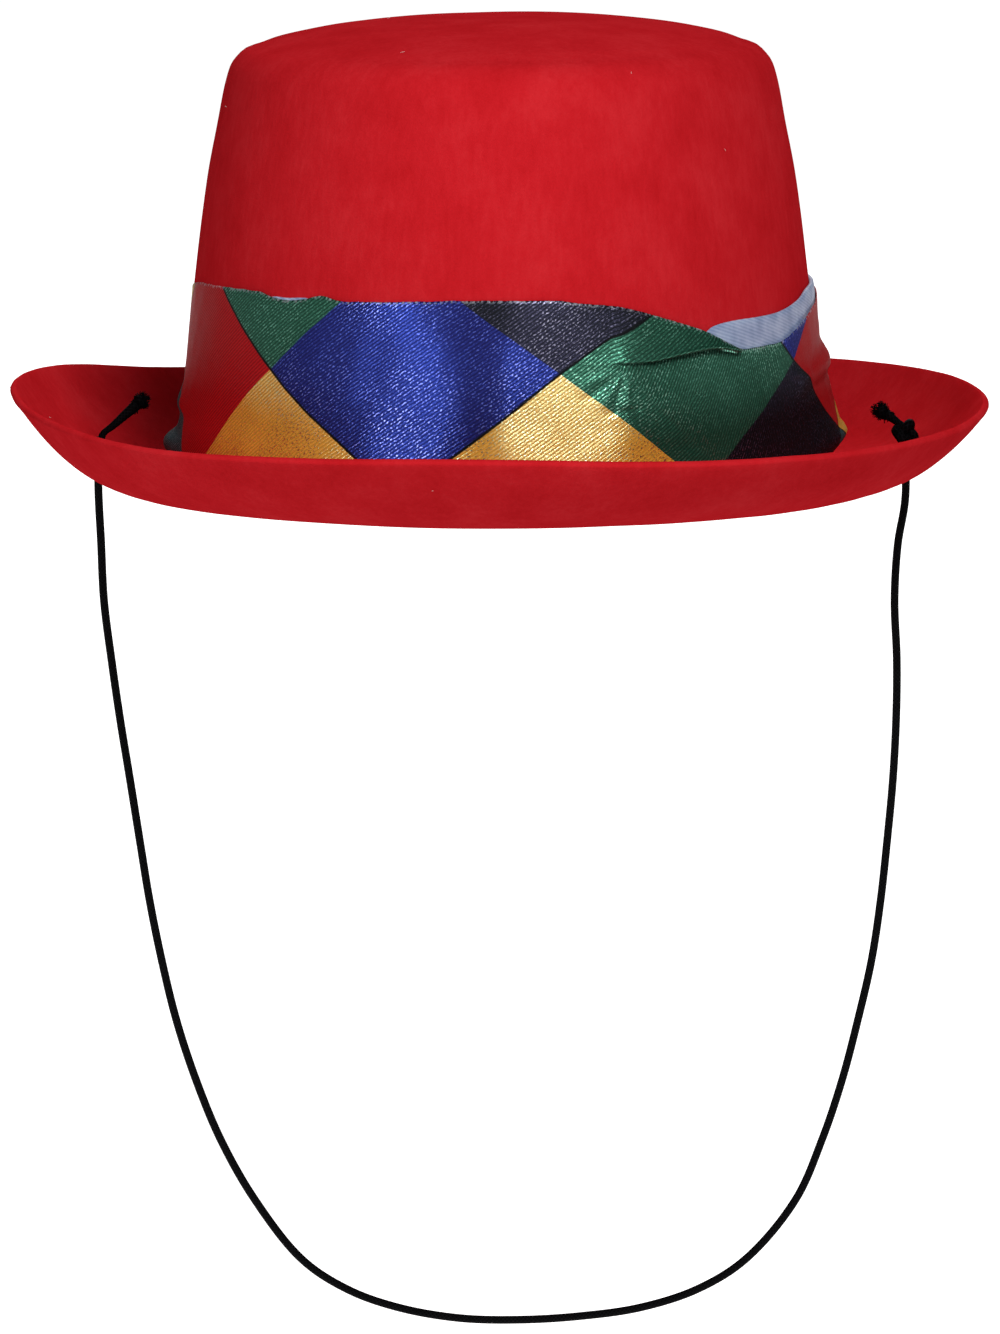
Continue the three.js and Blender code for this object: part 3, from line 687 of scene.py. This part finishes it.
def stand_off(degrees, up):
    """How far the band's outer face stands off the felt, without its creases."""
    tables = np.stack([round_the_hat(STAND_OFF, k + 1, degrees) for k in range(len(LEVELS))], axis=1)
    i = np.clip(np.searchsorted(LEVELS, up, side="right") - 1, 0, len(LEVELS) - 2)
    low, high = np.array(LEVELS)[i], np.array(LEVELS)[i + 1]
    slopes = np.gradient(tables, LEVELS, axis=1)
    rows = np.arange(len(tables))[:, None]
    ends = [tables[rows, i], tables[rows, i + 1], slopes[rows, i], slopes[rows, i + 1]]
    return cubic(*ends, high - low, (up - low) / (high - low))


def creases(degrees, height):
    """What the small creases add to the stand-off."""
    across = arc(degrees)[:, None] + 0 * height
    total = np.zeros_like(height)
    for from_at, from_up, to_at, to_up, below, above, lift in CREASES:
        start = np.array([arc(from_at), from_up])
        way = np.array([arc(to_at), to_up]) - start
        way_length = np.linalg.norm(way)
        gap_x, gap_y = across - start[0], height - start[1]
        share = (gap_x * way[0] + gap_y * way[1]) / way_length ** 2
        off = (gap_y * way[0] - gap_x * way[1]) / way_length
        width = np.where(off > 0, above, below)
        ends = np.clip(np.minimum(share + 0.15, 1.15 - share) / 0.3, 0, 1)
        total += lift * np.exp(-(off / width) ** 2) * ends * ends * (3 - 2 * ends)
    return total


def on_crown(degrees, height, off):
    """Points on the crown at some height, pushed out from the felt."""
    turn = np.radians(degrees)[:, None]
    out = crown_out(height) + off
    return np.stack([out * np.sin(turn), -(out + OVAL) * np.cos(turn), height], axis=2)


def twill_slant(degrees, across, height, above_tuck):
    """The twill lines' slant. It is steeper right of the pucker, from where lines of both slants meet."""
    angle = np.degrees(np.arctan2(height - PUCKER[1], across - arc(PUCKER[0])))
    meet = (TWILL_LEFT + TWILL_RIGHT) / 2 - 90
    right = (angle > meet) & (angle < FAN_TOP) & ~above_tuck
    return np.radians(np.where(right, TWILL_RIGHT, TWILL_LEFT))


# %% Band: the skin
LOWER_ROWS = 46
UPPER_ROWS = 18
INNER_ROWS = 16
LEAST_GAP = 0.15  # between the band's inner face and the felt
EDGE_LUMPS = (5, 31, 0.09)  # size, seed and height, along the top edge and on the face
FACE_LUMPS = [(9, 21, 0.07), (24, 22, 0.12)]
GROOVE = 0.4  # how deep the cloth dips under the fold, share of the tuck's height
GROOVE_WIDE = 1.2
TUCK_FROM = 15  # degrees where the flap's threads begin to count as its own
# The tuck's small S in section: how far up and how far out its rows are, as shares of its height.
TUCK_ROWS = [(0.45, -0.15), (0.3, 0.35), (-0.4, 0.8), (-0.3, 1.1), (0.2, 1.2)]


def band_skin():
    """The band: outer face, folded edge and inner face, with its three layers of cloth coordinates."""
    degrees = -180 + np.arange(BAND_COLUMNS) * 360 / BAND_COLUMNS
    top = round_the_hat(TOP, 1, degrees)[:, None]
    size, seed, high = EDGE_LUMPS
    top += soft_lumps(on_crown(degrees, top, 0), size, seed)[..., 0] * high
    fold_share = round_the_hat(TUCK, 1, degrees)[:, None]
    proud = np.clip(round_the_hat(TUCK, 2, degrees), 0, None)[:, None]
    fold = BAND_FOOT + (top - BAND_FOOT) * fold_share
    lower = BAND_FOOT + (fold - BAND_FOOT) * np.linspace(0, 1, LOWER_ROWS)
    upper = fold + (top - fold) * np.linspace(0, 1, UPPER_ROWS)[1:]
    tuck = fold + proud * np.array([up for up, _ in TUCK_ROWS])
    height = np.concatenate([lower, tuck, upper], axis=1)
    flap_share = (upper - fold) / np.maximum(top - fold, 0.01)
    extra = np.concatenate([
        -GROOVE * proud * np.exp(-((fold - lower) / GROOVE_WIDE) ** 2),
        proud * np.array([out for _, out in TUCK_ROWS]),
        proud * (1.1 - 0.75 * flap_share),
    ], axis=1)
    up = (height - BAND_FOOT) / (top - BAND_FOOT)
    face = on_crown(degrees, height, 0 * height)
    wavy = sum(soft_lumps(face, size, seed)[..., 0] * high for size, seed, high in FACE_LUMPS)
    base = stand_off(degrees, np.clip(up, 0, 1)) + creases(degrees, height) + wavy
    outer = on_crown(degrees, height, np.maximum(base, SATIN) + extra)

    inner_height = BAND_FOOT + (top - BAND_FOOT) * np.linspace(0.995, 0.005, INNER_ROWS)
    inner_up = (inner_height - BAND_FOOT) / (top - BAND_FOOT)
    inner_off = stand_off(degrees, inner_up) + creases(degrees, inner_height) - SATIN
    inner = on_crown(degrees, inner_height, np.maximum(inner_off, LEAST_GAP))
    edge_out = np.maximum(base[:, -1:], SATIN) + extra[:, -1:] - SATIN / 2
    rim = on_crown(degrees, top + 0.2, edge_out)

    step = np.hypot(np.diff(up * (top - BAND_FOOT), axis=1), np.diff(base, axis=1))
    run = np.concatenate([np.zeros((len(degrees), 1)), np.cumsum(step, axis=1)], axis=1)
    level = np.argmin(np.abs(height - DIAMOND_LEVEL), axis=1)[:, None]
    nearest = np.take_along_axis(height, level, 1)
    climb = run - np.take_along_axis(run, level, 1) + (nearest - DIAMOND_LEVEL)
    above, below = (round_the_hat(STRETCH, k, degrees)[:, None] for k in (1, 2))
    rise = climb + DIAMOND_LEVEL - PUCKER[1]
    climb = climb - round_the_hat(PRINT_RISE, 1, degrees)[:, None]
    climb = DIAMOND_LEVEL + climb * np.where(climb > 0, above, below)
    across = arc(degrees)[:, None] + 0 * height
    low_right = (
        np.clip((degrees - PUSH_FROM) / (PUSH_FULL - PUSH_FROM), 0, 1)
        * np.clip((PUSH_ENDS - degrees) / (PUSH_ENDS - PUSH_FADES), 0, 1)
    )[:, None]
    pushed = across + PRINT_PUSH * low_right * np.clip((PUSH_TOP - height) / (PUSH_TOP - PUSH_LOW), 0, 1)
    on_flap = (np.arange(height.shape[1]) > LOWER_ROWS) & (degrees[:, None] > TUCK_FROM) & (proud > 0.05)
    slant = twill_slant(degrees[:, None], across, height, on_flap)
    side = across - arc(PUCKER[0])
    threads = np.stack([
        side * np.cos(slant) + rise * np.sin(slant),
        side * np.sin(slant) - rise * np.cos(slant),
    ], axis=2)
    layers = {
        "cloth": np.stack([pushed, climb], axis=2),
        "threads": threads,
        "rim": np.stack([across, top - height], axis=2),
    }
    columns = np.concatenate([outer, rim, inner], axis=1)
    round_trip = arc(180) - arc(-180)
    for name, grid in layers.items():
        back = grid[:, -1:]
        inner_rows = np.linspace(grid.shape[1] - 1, 0, inner.shape[1]).astype(int)
        whole = np.concatenate([grid, back, grid[:, inner_rows]], axis=1)
        closing = whole[:1] + np.array([round_trip, 0])
        if name == "threads":
            closing = whole[-1:] + (whole[-1:] - whole[-2:-1])
        layers[name] = np.concatenate([whole, closing], axis=0)
    return skin("satin_hat_band", columns, True, layers)


satin_band = band_skin()
print("band:", [round(value * 1000, 1) for value in satin_band.dimensions], "mm, once round:",
      round(float(arc(180) - arc(-180))), "mm")

# %% [markdown]
# ## Harlequin print on polyester satin
# Costume satin is a glossy polyester weave: bright yarns lie on top in slanted lines, with darker gaps
# between them. That is why it sparkles, and why it shines brightest where the cloth faces halfway
# between lamp and eye. The print is the traditional harlequin of big diamonds in a few plain colours, 84 mm
# wide and 63 mm high. Two slanted coordinates number the diamonds, a ramp for each row names their
# colours, and a thin dark line parts them. The real twill lines are 0.5 mm apart and are drawn at 0.85 mm.

# %% Material: harlequin satin
DIAMOND_WIDE = 84 * MM
DIAMOND_TALL = 63 * MM
TWILL = 0.85 * MM
SPECKS = (1350, 2300, 1)  # glints a metre along the twill lines and across them
OUTLINE = 0.0062  # half the dark line's width, share of a diamond
GAP = 0.54  # the dye is darkened to this share in the gaps between twill lines: painted shade
GLINT = 0.55  # how far the glinting yarns' colour is painted toward the shine tint: a painted glint
SPARKLE = 0.24  # how white a glint is in the lamp's own shine
SHINE_GAP, SHINE_YARN, SHINE_GLINT = 0.05, 0.18, 0.77  # share of the shining floats
PALE_SHINE = 2.1  # how many times more of them a pale colour has
FRAY = 0.006  # how far the dark line's edge wanders, share of a diamond
WANDER = 2.2  # and a twill line, in radians of its wave
GLINT_FROM, GLINT_FULL = 0.54, 0.68  # noise where a yarn begins to glint, and glints in full
FOLD_WIDE = 0.8 * MM  # the folded edge glints more over this width
DOTS_WIDE = 0.6 * MM  # and pale dots, painted highlights of its bent threads, over this one
EDGE_SHINE = (0.12, 0.12, 0.12, 1.0)  # a float seen edge on stays dark
DYES = {
    "blue": "#18175c", "green": "#184433", "red": "#c4161d", "yellow": "#ffb83e", "black": "#0b1014",
    "teal": "#2a5054",
}
SHINES = {  # what each colour turns to where the floats catch the lamp, also the painted glints' colour
    "blue": "#4c6cf4", "green": "#6cc4a4", "red": "#b0242c", "yellow": "#f6ffc0", "black": "#5e5c80",
    "teal": "#7ea6b4",
}
PRINT = {  # the diamonds of each row, from number -3 on
    0: ["blue", "green", "red", "blue", "green", "red", "blue", "green"],
    1: ["green", "blue", "yellow", "green", "black", "blue", "yellow", "green"],
    -1: ["black", "teal", "yellow", "yellow", "black", "yellow", "green", "blue"],
    -2: ["green", "blue", "red", "green", "teal", "blue", "red", "green"],
}

harlequin, add = new_material("harlequin_polyester_satin")
cloth_place = add("UVMap", uv_map="cloth")
cloth = add("SeparateXYZ", [cloth_place])
threads = add("UVMap", uv_map="threads")
rim = add("SeparateXYZ", [add("UVMap", uv_map="rim")])

# Numbers the diamonds by two slanted coordinates.
wide = add("DIVIDE", [cloth.outputs[0], DIAMOND_WIDE])
high = add("SUBTRACT", [cloth.outputs[1], DIAMOND_LEVEL * MM])
tall = add("DIVIDE", [high, DIAMOND_TALL])
slants = [add(kind, [wide, tall]) for kind in ("ADD", "SUBTRACT")]
numbers = [add("FLOOR", [slant]) for slant in slants]
row = add("SUBTRACT", numbers)
place = add("MapRange", [numbers[0], -3.5, 4.5])
printed = []
for palette in (DYES, SHINES):
    colour = None
    for number, names in PRINT.items():
        ramp = add("ValToRGB", {"Fac": place}, [
            (i / len(names), linear(palette[name])) for i, name in enumerate(names)
        ])
        ramp.color_ramp.interpolation = "CONSTANT"
        here = add("COMPARE", [row, number, 0.5])
        if colour is None:
            colour = ramp
        else:
            colour = add("Mix", {0: here, 6: colour, 7: ramp}, data_type="RGBA").outputs[2]
    printed.append(colour)
print("diamonds:", sum(len(names) for names in PRINT.values()), "in", len(DYES), "dyes")

# %% Satin: the dark outline
# Even lines of one slant, odd lines of the other.
fray = add("TexNoise", {"Vector": threads, "Scale": 900, "Detail": 2})
even = add("PINGPONG", [slants[0], 1.0])
odd = add("PINGPONG", [slants[1], 1.0])
odd = add("SUBTRACT", [1.0, odd])
near = add("MINIMUM", [even, odd])
near = add("MULTIPLY_ADD", [fray, -FRAY, near])
outline = add("MapRange", [near, OUTLINE * 0.3, OUTLINE])
colour, tint = (
    add("Mix", {0: outline, 6: linear("#070a0e"), 7: layer}, data_type="RGBA").outputs[2]
    for layer in printed
)

# %% Satin: twill lines, and the yarns' glints along them
line = add("SeparateXYZ", [threads])
uneven = add("TexNoise", {"Vector": threads, "Scale": 1100, "Detail": 1}, noise_dimensions="2D")
phase = add("MULTIPLY", [line.outputs[1], 2 * math.pi / TWILL])
phase = add("MULTIPLY_ADD", [uneven, WANDER, phase])
wave = add("SINE", [phase])
yarn = add("MapRange", [wave, -0.75, 0.7], interpolation_type="SMOOTHSTEP")
fine = add("Mapping", {"Vector": threads, "Scale": SPECKS})
specks = add("TexNoise", {"Vector": fine, "Scale": 1, "Detail": 1}, noise_dimensions="2D")
reach = add("MapRange", [rim.outputs[1], FOLD_WIDE, 0.0, 0.0, 0.2])
specks = add("ADD", [specks, reach])
glint = add("MapRange", [specks, GLINT_FROM, GLINT_FULL], interpolation_type="SMOOTHSTEP")
drift = add("TexNoise", {"Vector": threads, "Scale": 45, "Detail": 2}, noise_dimensions="2D")
lively = add("MapRange", [drift, 0.38, 0.62, 0.3])

# Painted highlight: pale dots along the folded top edge, where its threads catch the lamp.
edge = add("MapRange", [rim.outputs[1], DOTS_WIDE, DOTS_WIDE / 6])
painted_edge_glints = add("TexNoise", {"Vector": cloth_place, "Scale": 1000, "Detail": 0}, noise_dimensions="2D")
painted_edge_glints = add("MapRange", [painted_edge_glints, 0.5, 0.62, 0.0, 0.35])
painted_edge_glints = add("MULTIPLY", [painted_edge_glints, edge])

# The red dye is deep and covers the glints: its tint is the only one without blue.
blue = add("SeparateColor", [tint]).outputs[2]
shows = add("MapRange", [blue, 0.03, 0.12, 0.2])
for factor in (lively, yarn, shows):
    glint = add("MULTIPLY", [glint, factor])

# %% Satin: dull yarns and shining floats
# Floats are paler than the dye in the gaps, which is darkened there as painted shade, and shine in a paler
# tint of their own colour.
# Where yarns glint their dyed colour is painted toward that tint, a painted glint, and pale dots on the top
# edge are painted highlights.
gap = add("MapRange", [yarn, 0.0, 1.0, GAP, 1.0])
dyed = add("VectorMath", {0: colour, "Scale": gap}, operation="SCALE")
# Painted glint: the dyed colour is mixed toward the tint where yarns glint.
painted_glint = add("MULTIPLY", [glint, GLINT])
dyed = add("Mix", {0: painted_glint, 6: dyed, 7: tint}, data_type="RGBA").outputs[2]
# Painted highlight: the pale dots on the top edge.
dyed = add("Mix", {0: painted_edge_glints, 6: dyed, 7: linear("#e4e8f2")}, data_type="RGBA").outputs[2]
height = add("MULTIPLY_ADD", [specks, 1.6, yarn])
bump = add("Bump", {"Height": height, "Strength": 0.35, "Distance": 0.0001})
upright = add("Tangent", direction_type="UV_MAP", uv_map="cloth")
dull = add("BsdfPrincipled", {
    "Base Color": dyed, "Roughness": 0.6, "Specular IOR Level": 0.1, "Normal": bump,
})
sparkle = add("MULTIPLY", [glint, SPARKLE])
bare = add("Mix", {0: sparkle, 6: tint, 7: WHITE}, data_type="RGBA").outputs[2]
floats = add("BsdfPrincipled", {
    "Base Color": bare, "Metallic": 1.0, "Specular Tint": EDGE_SHINE,
    "Roughness": 0.3, "Anisotropic": 0.85, "Anisotropic Rotation": 0.25,
    "Tangent": upright, "Normal": bump,
})
share = add("MapRange", [yarn, 0.0, 1.0, SHINE_GAP, SHINE_YARN])
share = add("MULTIPLY_ADD", [glint, SHINE_GLINT, share])
pale = add("RGBToBW", [tint])
pale = add("MapRange", [pale, 0.4, 0.9, 1.0, PALE_SHINE])
share = add("MULTIPLY", [share, pale])
satin = add("MixShader", [share, dull, floats])
add("OutputMaterial", [satin])

dress(satin_band, harlequin)
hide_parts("satin_band")

# %% [markdown]
# ## The turned hem
# The strip's top edge is folded back, and where the front layer sags at the right, the fold's wrong side
# shows: plain white satin, given the blue-grey colour it has in the band's shade, a painted shade. At the
# left the same hem peeps out as a thin pale crescent. Both are narrow strips of skin between felt and band.

# %% Hem strips
HEM_ROWS = 10
HEM_FOOT = 0.45  # stand-off at the lower edge
# Degrees, height of the lower and the upper edge, stand-off at the upper edge and at the middle.
HEM_RIGHT = [
    (36.5, 40, 44.5, 0.5, 0.5), (39.6, 38, 46.4, 0.5, 0.5), (41.2, 37.5, 47.6, 0.6, 0.7),
    (43.9, 37, 48.3, 0.6, 0.8), (48.1, 36.5, 48.7, 0.7, 0.8), (54.1, 36, 48.8, 0.75, 0.9),
    (61.3, 36, 49.2, 0.8, 0.9), (71.5, 39, 51.2, 0.9, 1), (77, 42, 52.9, 1.1, 1.2),
    (84, 44, 53.5, 1.2, 1.3), (92, 45, 53.9, 1.2, 1.2), (101, 46, 54.2, 0.8, 0.8),
    (106, 48, 53, 0.5, 0.5),
]
HEM_LEFT = [
    (-48.5, 50, 53.6, 0.4, 0.4), (-46.5, 50, 54.8, 0.5, 0.5), (-42.5, 50, 54.9, 0.6, 0.5),
    (-38, 50, 55.3, 0.6, 0.5), (-35, 50, 54.7, 0.4, 0.4),
]


def hem_strip(name, rows):
    """A thin closed strip along the table's edges."""
    fine = smooth_line(rows, 0.6)
    degrees, low, high, top_off, middle_off = (fine[:, k:k + 1] for k in range(5))
    share = np.linspace(0, 1, HEM_ROWS)
    height = low + (high - low) * share
    bulge = 4 * share * (1 - share)
    outer_off = top_off * share + HEM_FOOT * (1 - share) + bulge * (middle_off - HEM_FOOT) * 0.5
    outer = on_crown(degrees[:, 0], height, outer_off)
    inner = on_crown(degrees[:, 0], height, LEAST_GAP + 0 * height)
    rim = on_crown(degrees[:, 0], high + 0.15, outer_off[:, -1:] * 0.5 + 0.1)
    columns = np.concatenate([outer, rim, inner[:, ::-1]], axis=1)
    across = arc(degrees[:, 0])[:, None] + 0 * height
    grid = np.stack([across, height], axis=2)
    grid = np.concatenate([grid, grid[:, -1:], grid[:, ::-1]], axis=1)
    grid = np.concatenate([grid, grid[:, :1]], axis=1)
    return skin(name, columns.transpose(1, 0, 2), False, {"cloth": grid.transpose(1, 0, 2)})


hem = hem_strip("satin_wrong_side_hem", HEM_RIGHT)
hem_left = hem_strip("satin_wrong_side_peep", HEM_LEFT)

# %% [markdown]
# ## Wrong side of the satin
# The back of printed satin is unprinted: matt white polyester with fine ribs along the strip, 0.5 mm
# apart in the real cloth and drawn at 0.9 mm. Its folded edge is the palest part. Here its colour is a
# darker blue-grey than white: painted shade.

# %% Material: unprinted wrong side
RIB = 0.9 * MM

wrong_side, add = new_material("unprinted_polyester_satin")
cloth = add("UVMap", uv_map="cloth")
place = add("SeparateXYZ", [cloth])
slanted = add("MULTIPLY_ADD", [place.outputs[0], 0.28, place.outputs[1]])
phase = add("MULTIPLY", [slanted, 2 * math.pi / RIB])
ribs = add("SINE", [phase])
drift = add("TexNoise", {"Vector": cloth, "Scale": 150, "Detail": 4}, noise_dimensions="2D")
mixed = add("MULTIPLY_ADD", [ribs, 0.12, drift])
shade = add("MapRange", [mixed, 0.3, 0.7])
# Painted shade: the white cloth is coloured a darker blue-grey, as it looks in the band's shade.
colour = add("ValToRGB", {"Fac": shade}, [
    (0.0, linear("#8596bb")), (0.5, linear("#9dadd0")), (1.0, linear("#b6c4de")),
])
bump = add("Bump", {"Height": ribs, "Strength": 0.25, "Distance": 0.0001})
shader = add("BsdfPrincipled", {
    "Base Color": colour, "Roughness": 0.5, "Specular IOR Level": 0.4, "Normal": bump,
    "Sheen Weight": 0.1, "Sheen Roughness": 0.4,
})
add("OutputMaterial", [shader])

for strip in (hem, hem_left):
    dress(strip, wrong_side)
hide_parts("band_turned_hem")

# %% [markdown]
# ## Lint
# Red felt picks up pale lint. A few curled fibres, up to 1 mm long, lie on the crown and the brim. Each is
# a tiny tube that follows the felt, and they are joined into one piece.

# %% Lint fibres
LINT = 26
LINT_THICK = 0.14


def lint_fibres():
    """Short curled fibres lying on the felt's outer face."""
    fibres = []
    felt_mesh = felt_hat.data
    for _ in range(LINT):
        face = felt_mesh.polygons[int(chance.integers(len(felt_mesh.polygons)))]
        normal = np.array(face.normal)
        root = np.array(face.center) / MM + normal * 0.08
        way = np.cross(normal, chance.normal(size=3))
        way /= np.linalg.norm(way)
        curl = np.cross(normal, way)
        size = chance.uniform(0.5, 1.1)
        middle = root + way * size * 0.5 + curl * size * 0.2
        tip = root + way * size + curl * size * 0.1 + normal * 0.15
        fibres.append(tube("fibre", smooth_line([root, middle, tip], 0.25), LINT_THICK / 2, 4))
    return joined("pale_lint", fibres)


lint = lint_fibres()
lint_material, add = new_material("pale_cotton_lint")
patches = add("TexNoise", {"Scale": 4000})
colour = add("ValToRGB", {"Fac": patches}, [(0.3, linear("#d98f8c")), (0.7, linear("#f0d6d0"))])
shader = add("BsdfPrincipled", {"Base Color": colour, "Roughness": 0.9})
add("OutputMaterial", [shader])
dress(lint, lint_material)

# %% [markdown]
# ## Floor, light and colour
# The hat is held up as on a head, so that its cord hangs free, over a plain pale studio floor that fills
# the whole picture. Floor and backdrop look white but send the hat hardly any light, so the lamps alone
# shade it. One big soft lamp stands in front to the right, a weaker one to the left, and two behind so
# that the back isn't dark. What white paper would throw back up under the brim comes from a wide lamp
# just over the floor, a little more from the right. The lamps are left out of the camera's view.

# %% Floor, lamps and view
FLOOR_HEIGHT = -0.24
FLOOR_SIDE = 60
LAMPS = [  # name, azimuth, elevation, distance, size, watts; azimuth 0 is the front, 90 the right
    ("lamp_front_right", 20, 39, 2.6, 0.8, 43),
    ("lamp_front_left", -42, 12, 3.0, 0.8, 25),
    ("lamp_back_left", -172, 33, 3.5, 1.5, 19),
    ("lamp_back_right", 172, 33, 3.5, 1.5, 19),
    ("lamp_table", 0, -90, -FLOOR_HEIGHT - 0.005, 3.0, 18),
]
TABLE_LAMP_RIGHT = 0.8  # how far the last one stands to the right
floor_mesh = bpy.data.meshes.new("studio_floor")
signs = [(-1, -1), (1, -1), (1, 1), (-1, 1)]
corners = [(x * FLOOR_SIDE / 2, y * FLOOR_SIDE / 2, FLOOR_HEIGHT) for x, y in signs]
floor_mesh.from_pydata(corners, [], [(0, 1, 2, 3)])
floor = put("studio_floor", floor_mesh)
floor_material, add = new_material("pale_studio_paper")
where = add("TexCoord").outputs["Object"]
fibres = add("TexNoise", {"Vector": where, "Scale": 40, "Detail": 3})
colour = add("ValToRGB", {"Fac": fibres}, [(0.3, linear("#efefee")), (0.7, linear("#f6f6f5"))])
shader = add("BsdfPrincipled", {
    "Base Color": colour, "Roughness": 0.9, "Specular IOR Level": 0.1,
    "Emission Color": WHITE, "Emission Strength": 1.0,
})
add("OutputMaterial", [shader])
floor_mesh.materials.append(floor_material)
floor.visible_diffuse = False


def softbox(name, azimuth, elevation, distance, size, watts):
    """A square soft lamp that faces the hat."""
    lamp = bpy.data.lights.new(name, "AREA")
    lamp.shape = "SQUARE"
    lamp.size = size
    lamp.energy = watts
    holder = put(name, lamp)
    turn, lift = math.radians(azimuth), math.radians(elevation)
    holder.location = (
        distance * math.cos(lift) * math.sin(turn),
        -distance * math.cos(lift) * math.cos(turn),
        distance * math.sin(lift),
    )
    holder.rotation_euler = (math.pi / 2 - lift, 0, turn)
    holder.visible_camera = False
    return holder


lamps = [softbox(*row) for row in LAMPS]
lamps[-1].location.x = TABLE_LAMP_RIGHT
print("lamps:", [lamp.name for lamp in lamps])

world = bpy.data.worlds.new("studio")
world.use_nodes = True
tree = world.node_tree
tree.nodes.clear()
dim = add_node(tree, "Background", {"Color": WHITE, "Strength": 0.04})
bright = add_node(tree, "Background", {"Color": WHITE, "Strength": 1.0})
path = add_node(tree, "LightPath")
sky = add_node(tree, "MixShader", [path.outputs["Is Camera Ray"], dim, bright])
add_node(tree, "OutputWorld", [sky])
bpy.context.scene.world = world
bpy.context.scene.view_settings.view_transform = "Standard"
bpy.context.scene.view_settings.look = "None"
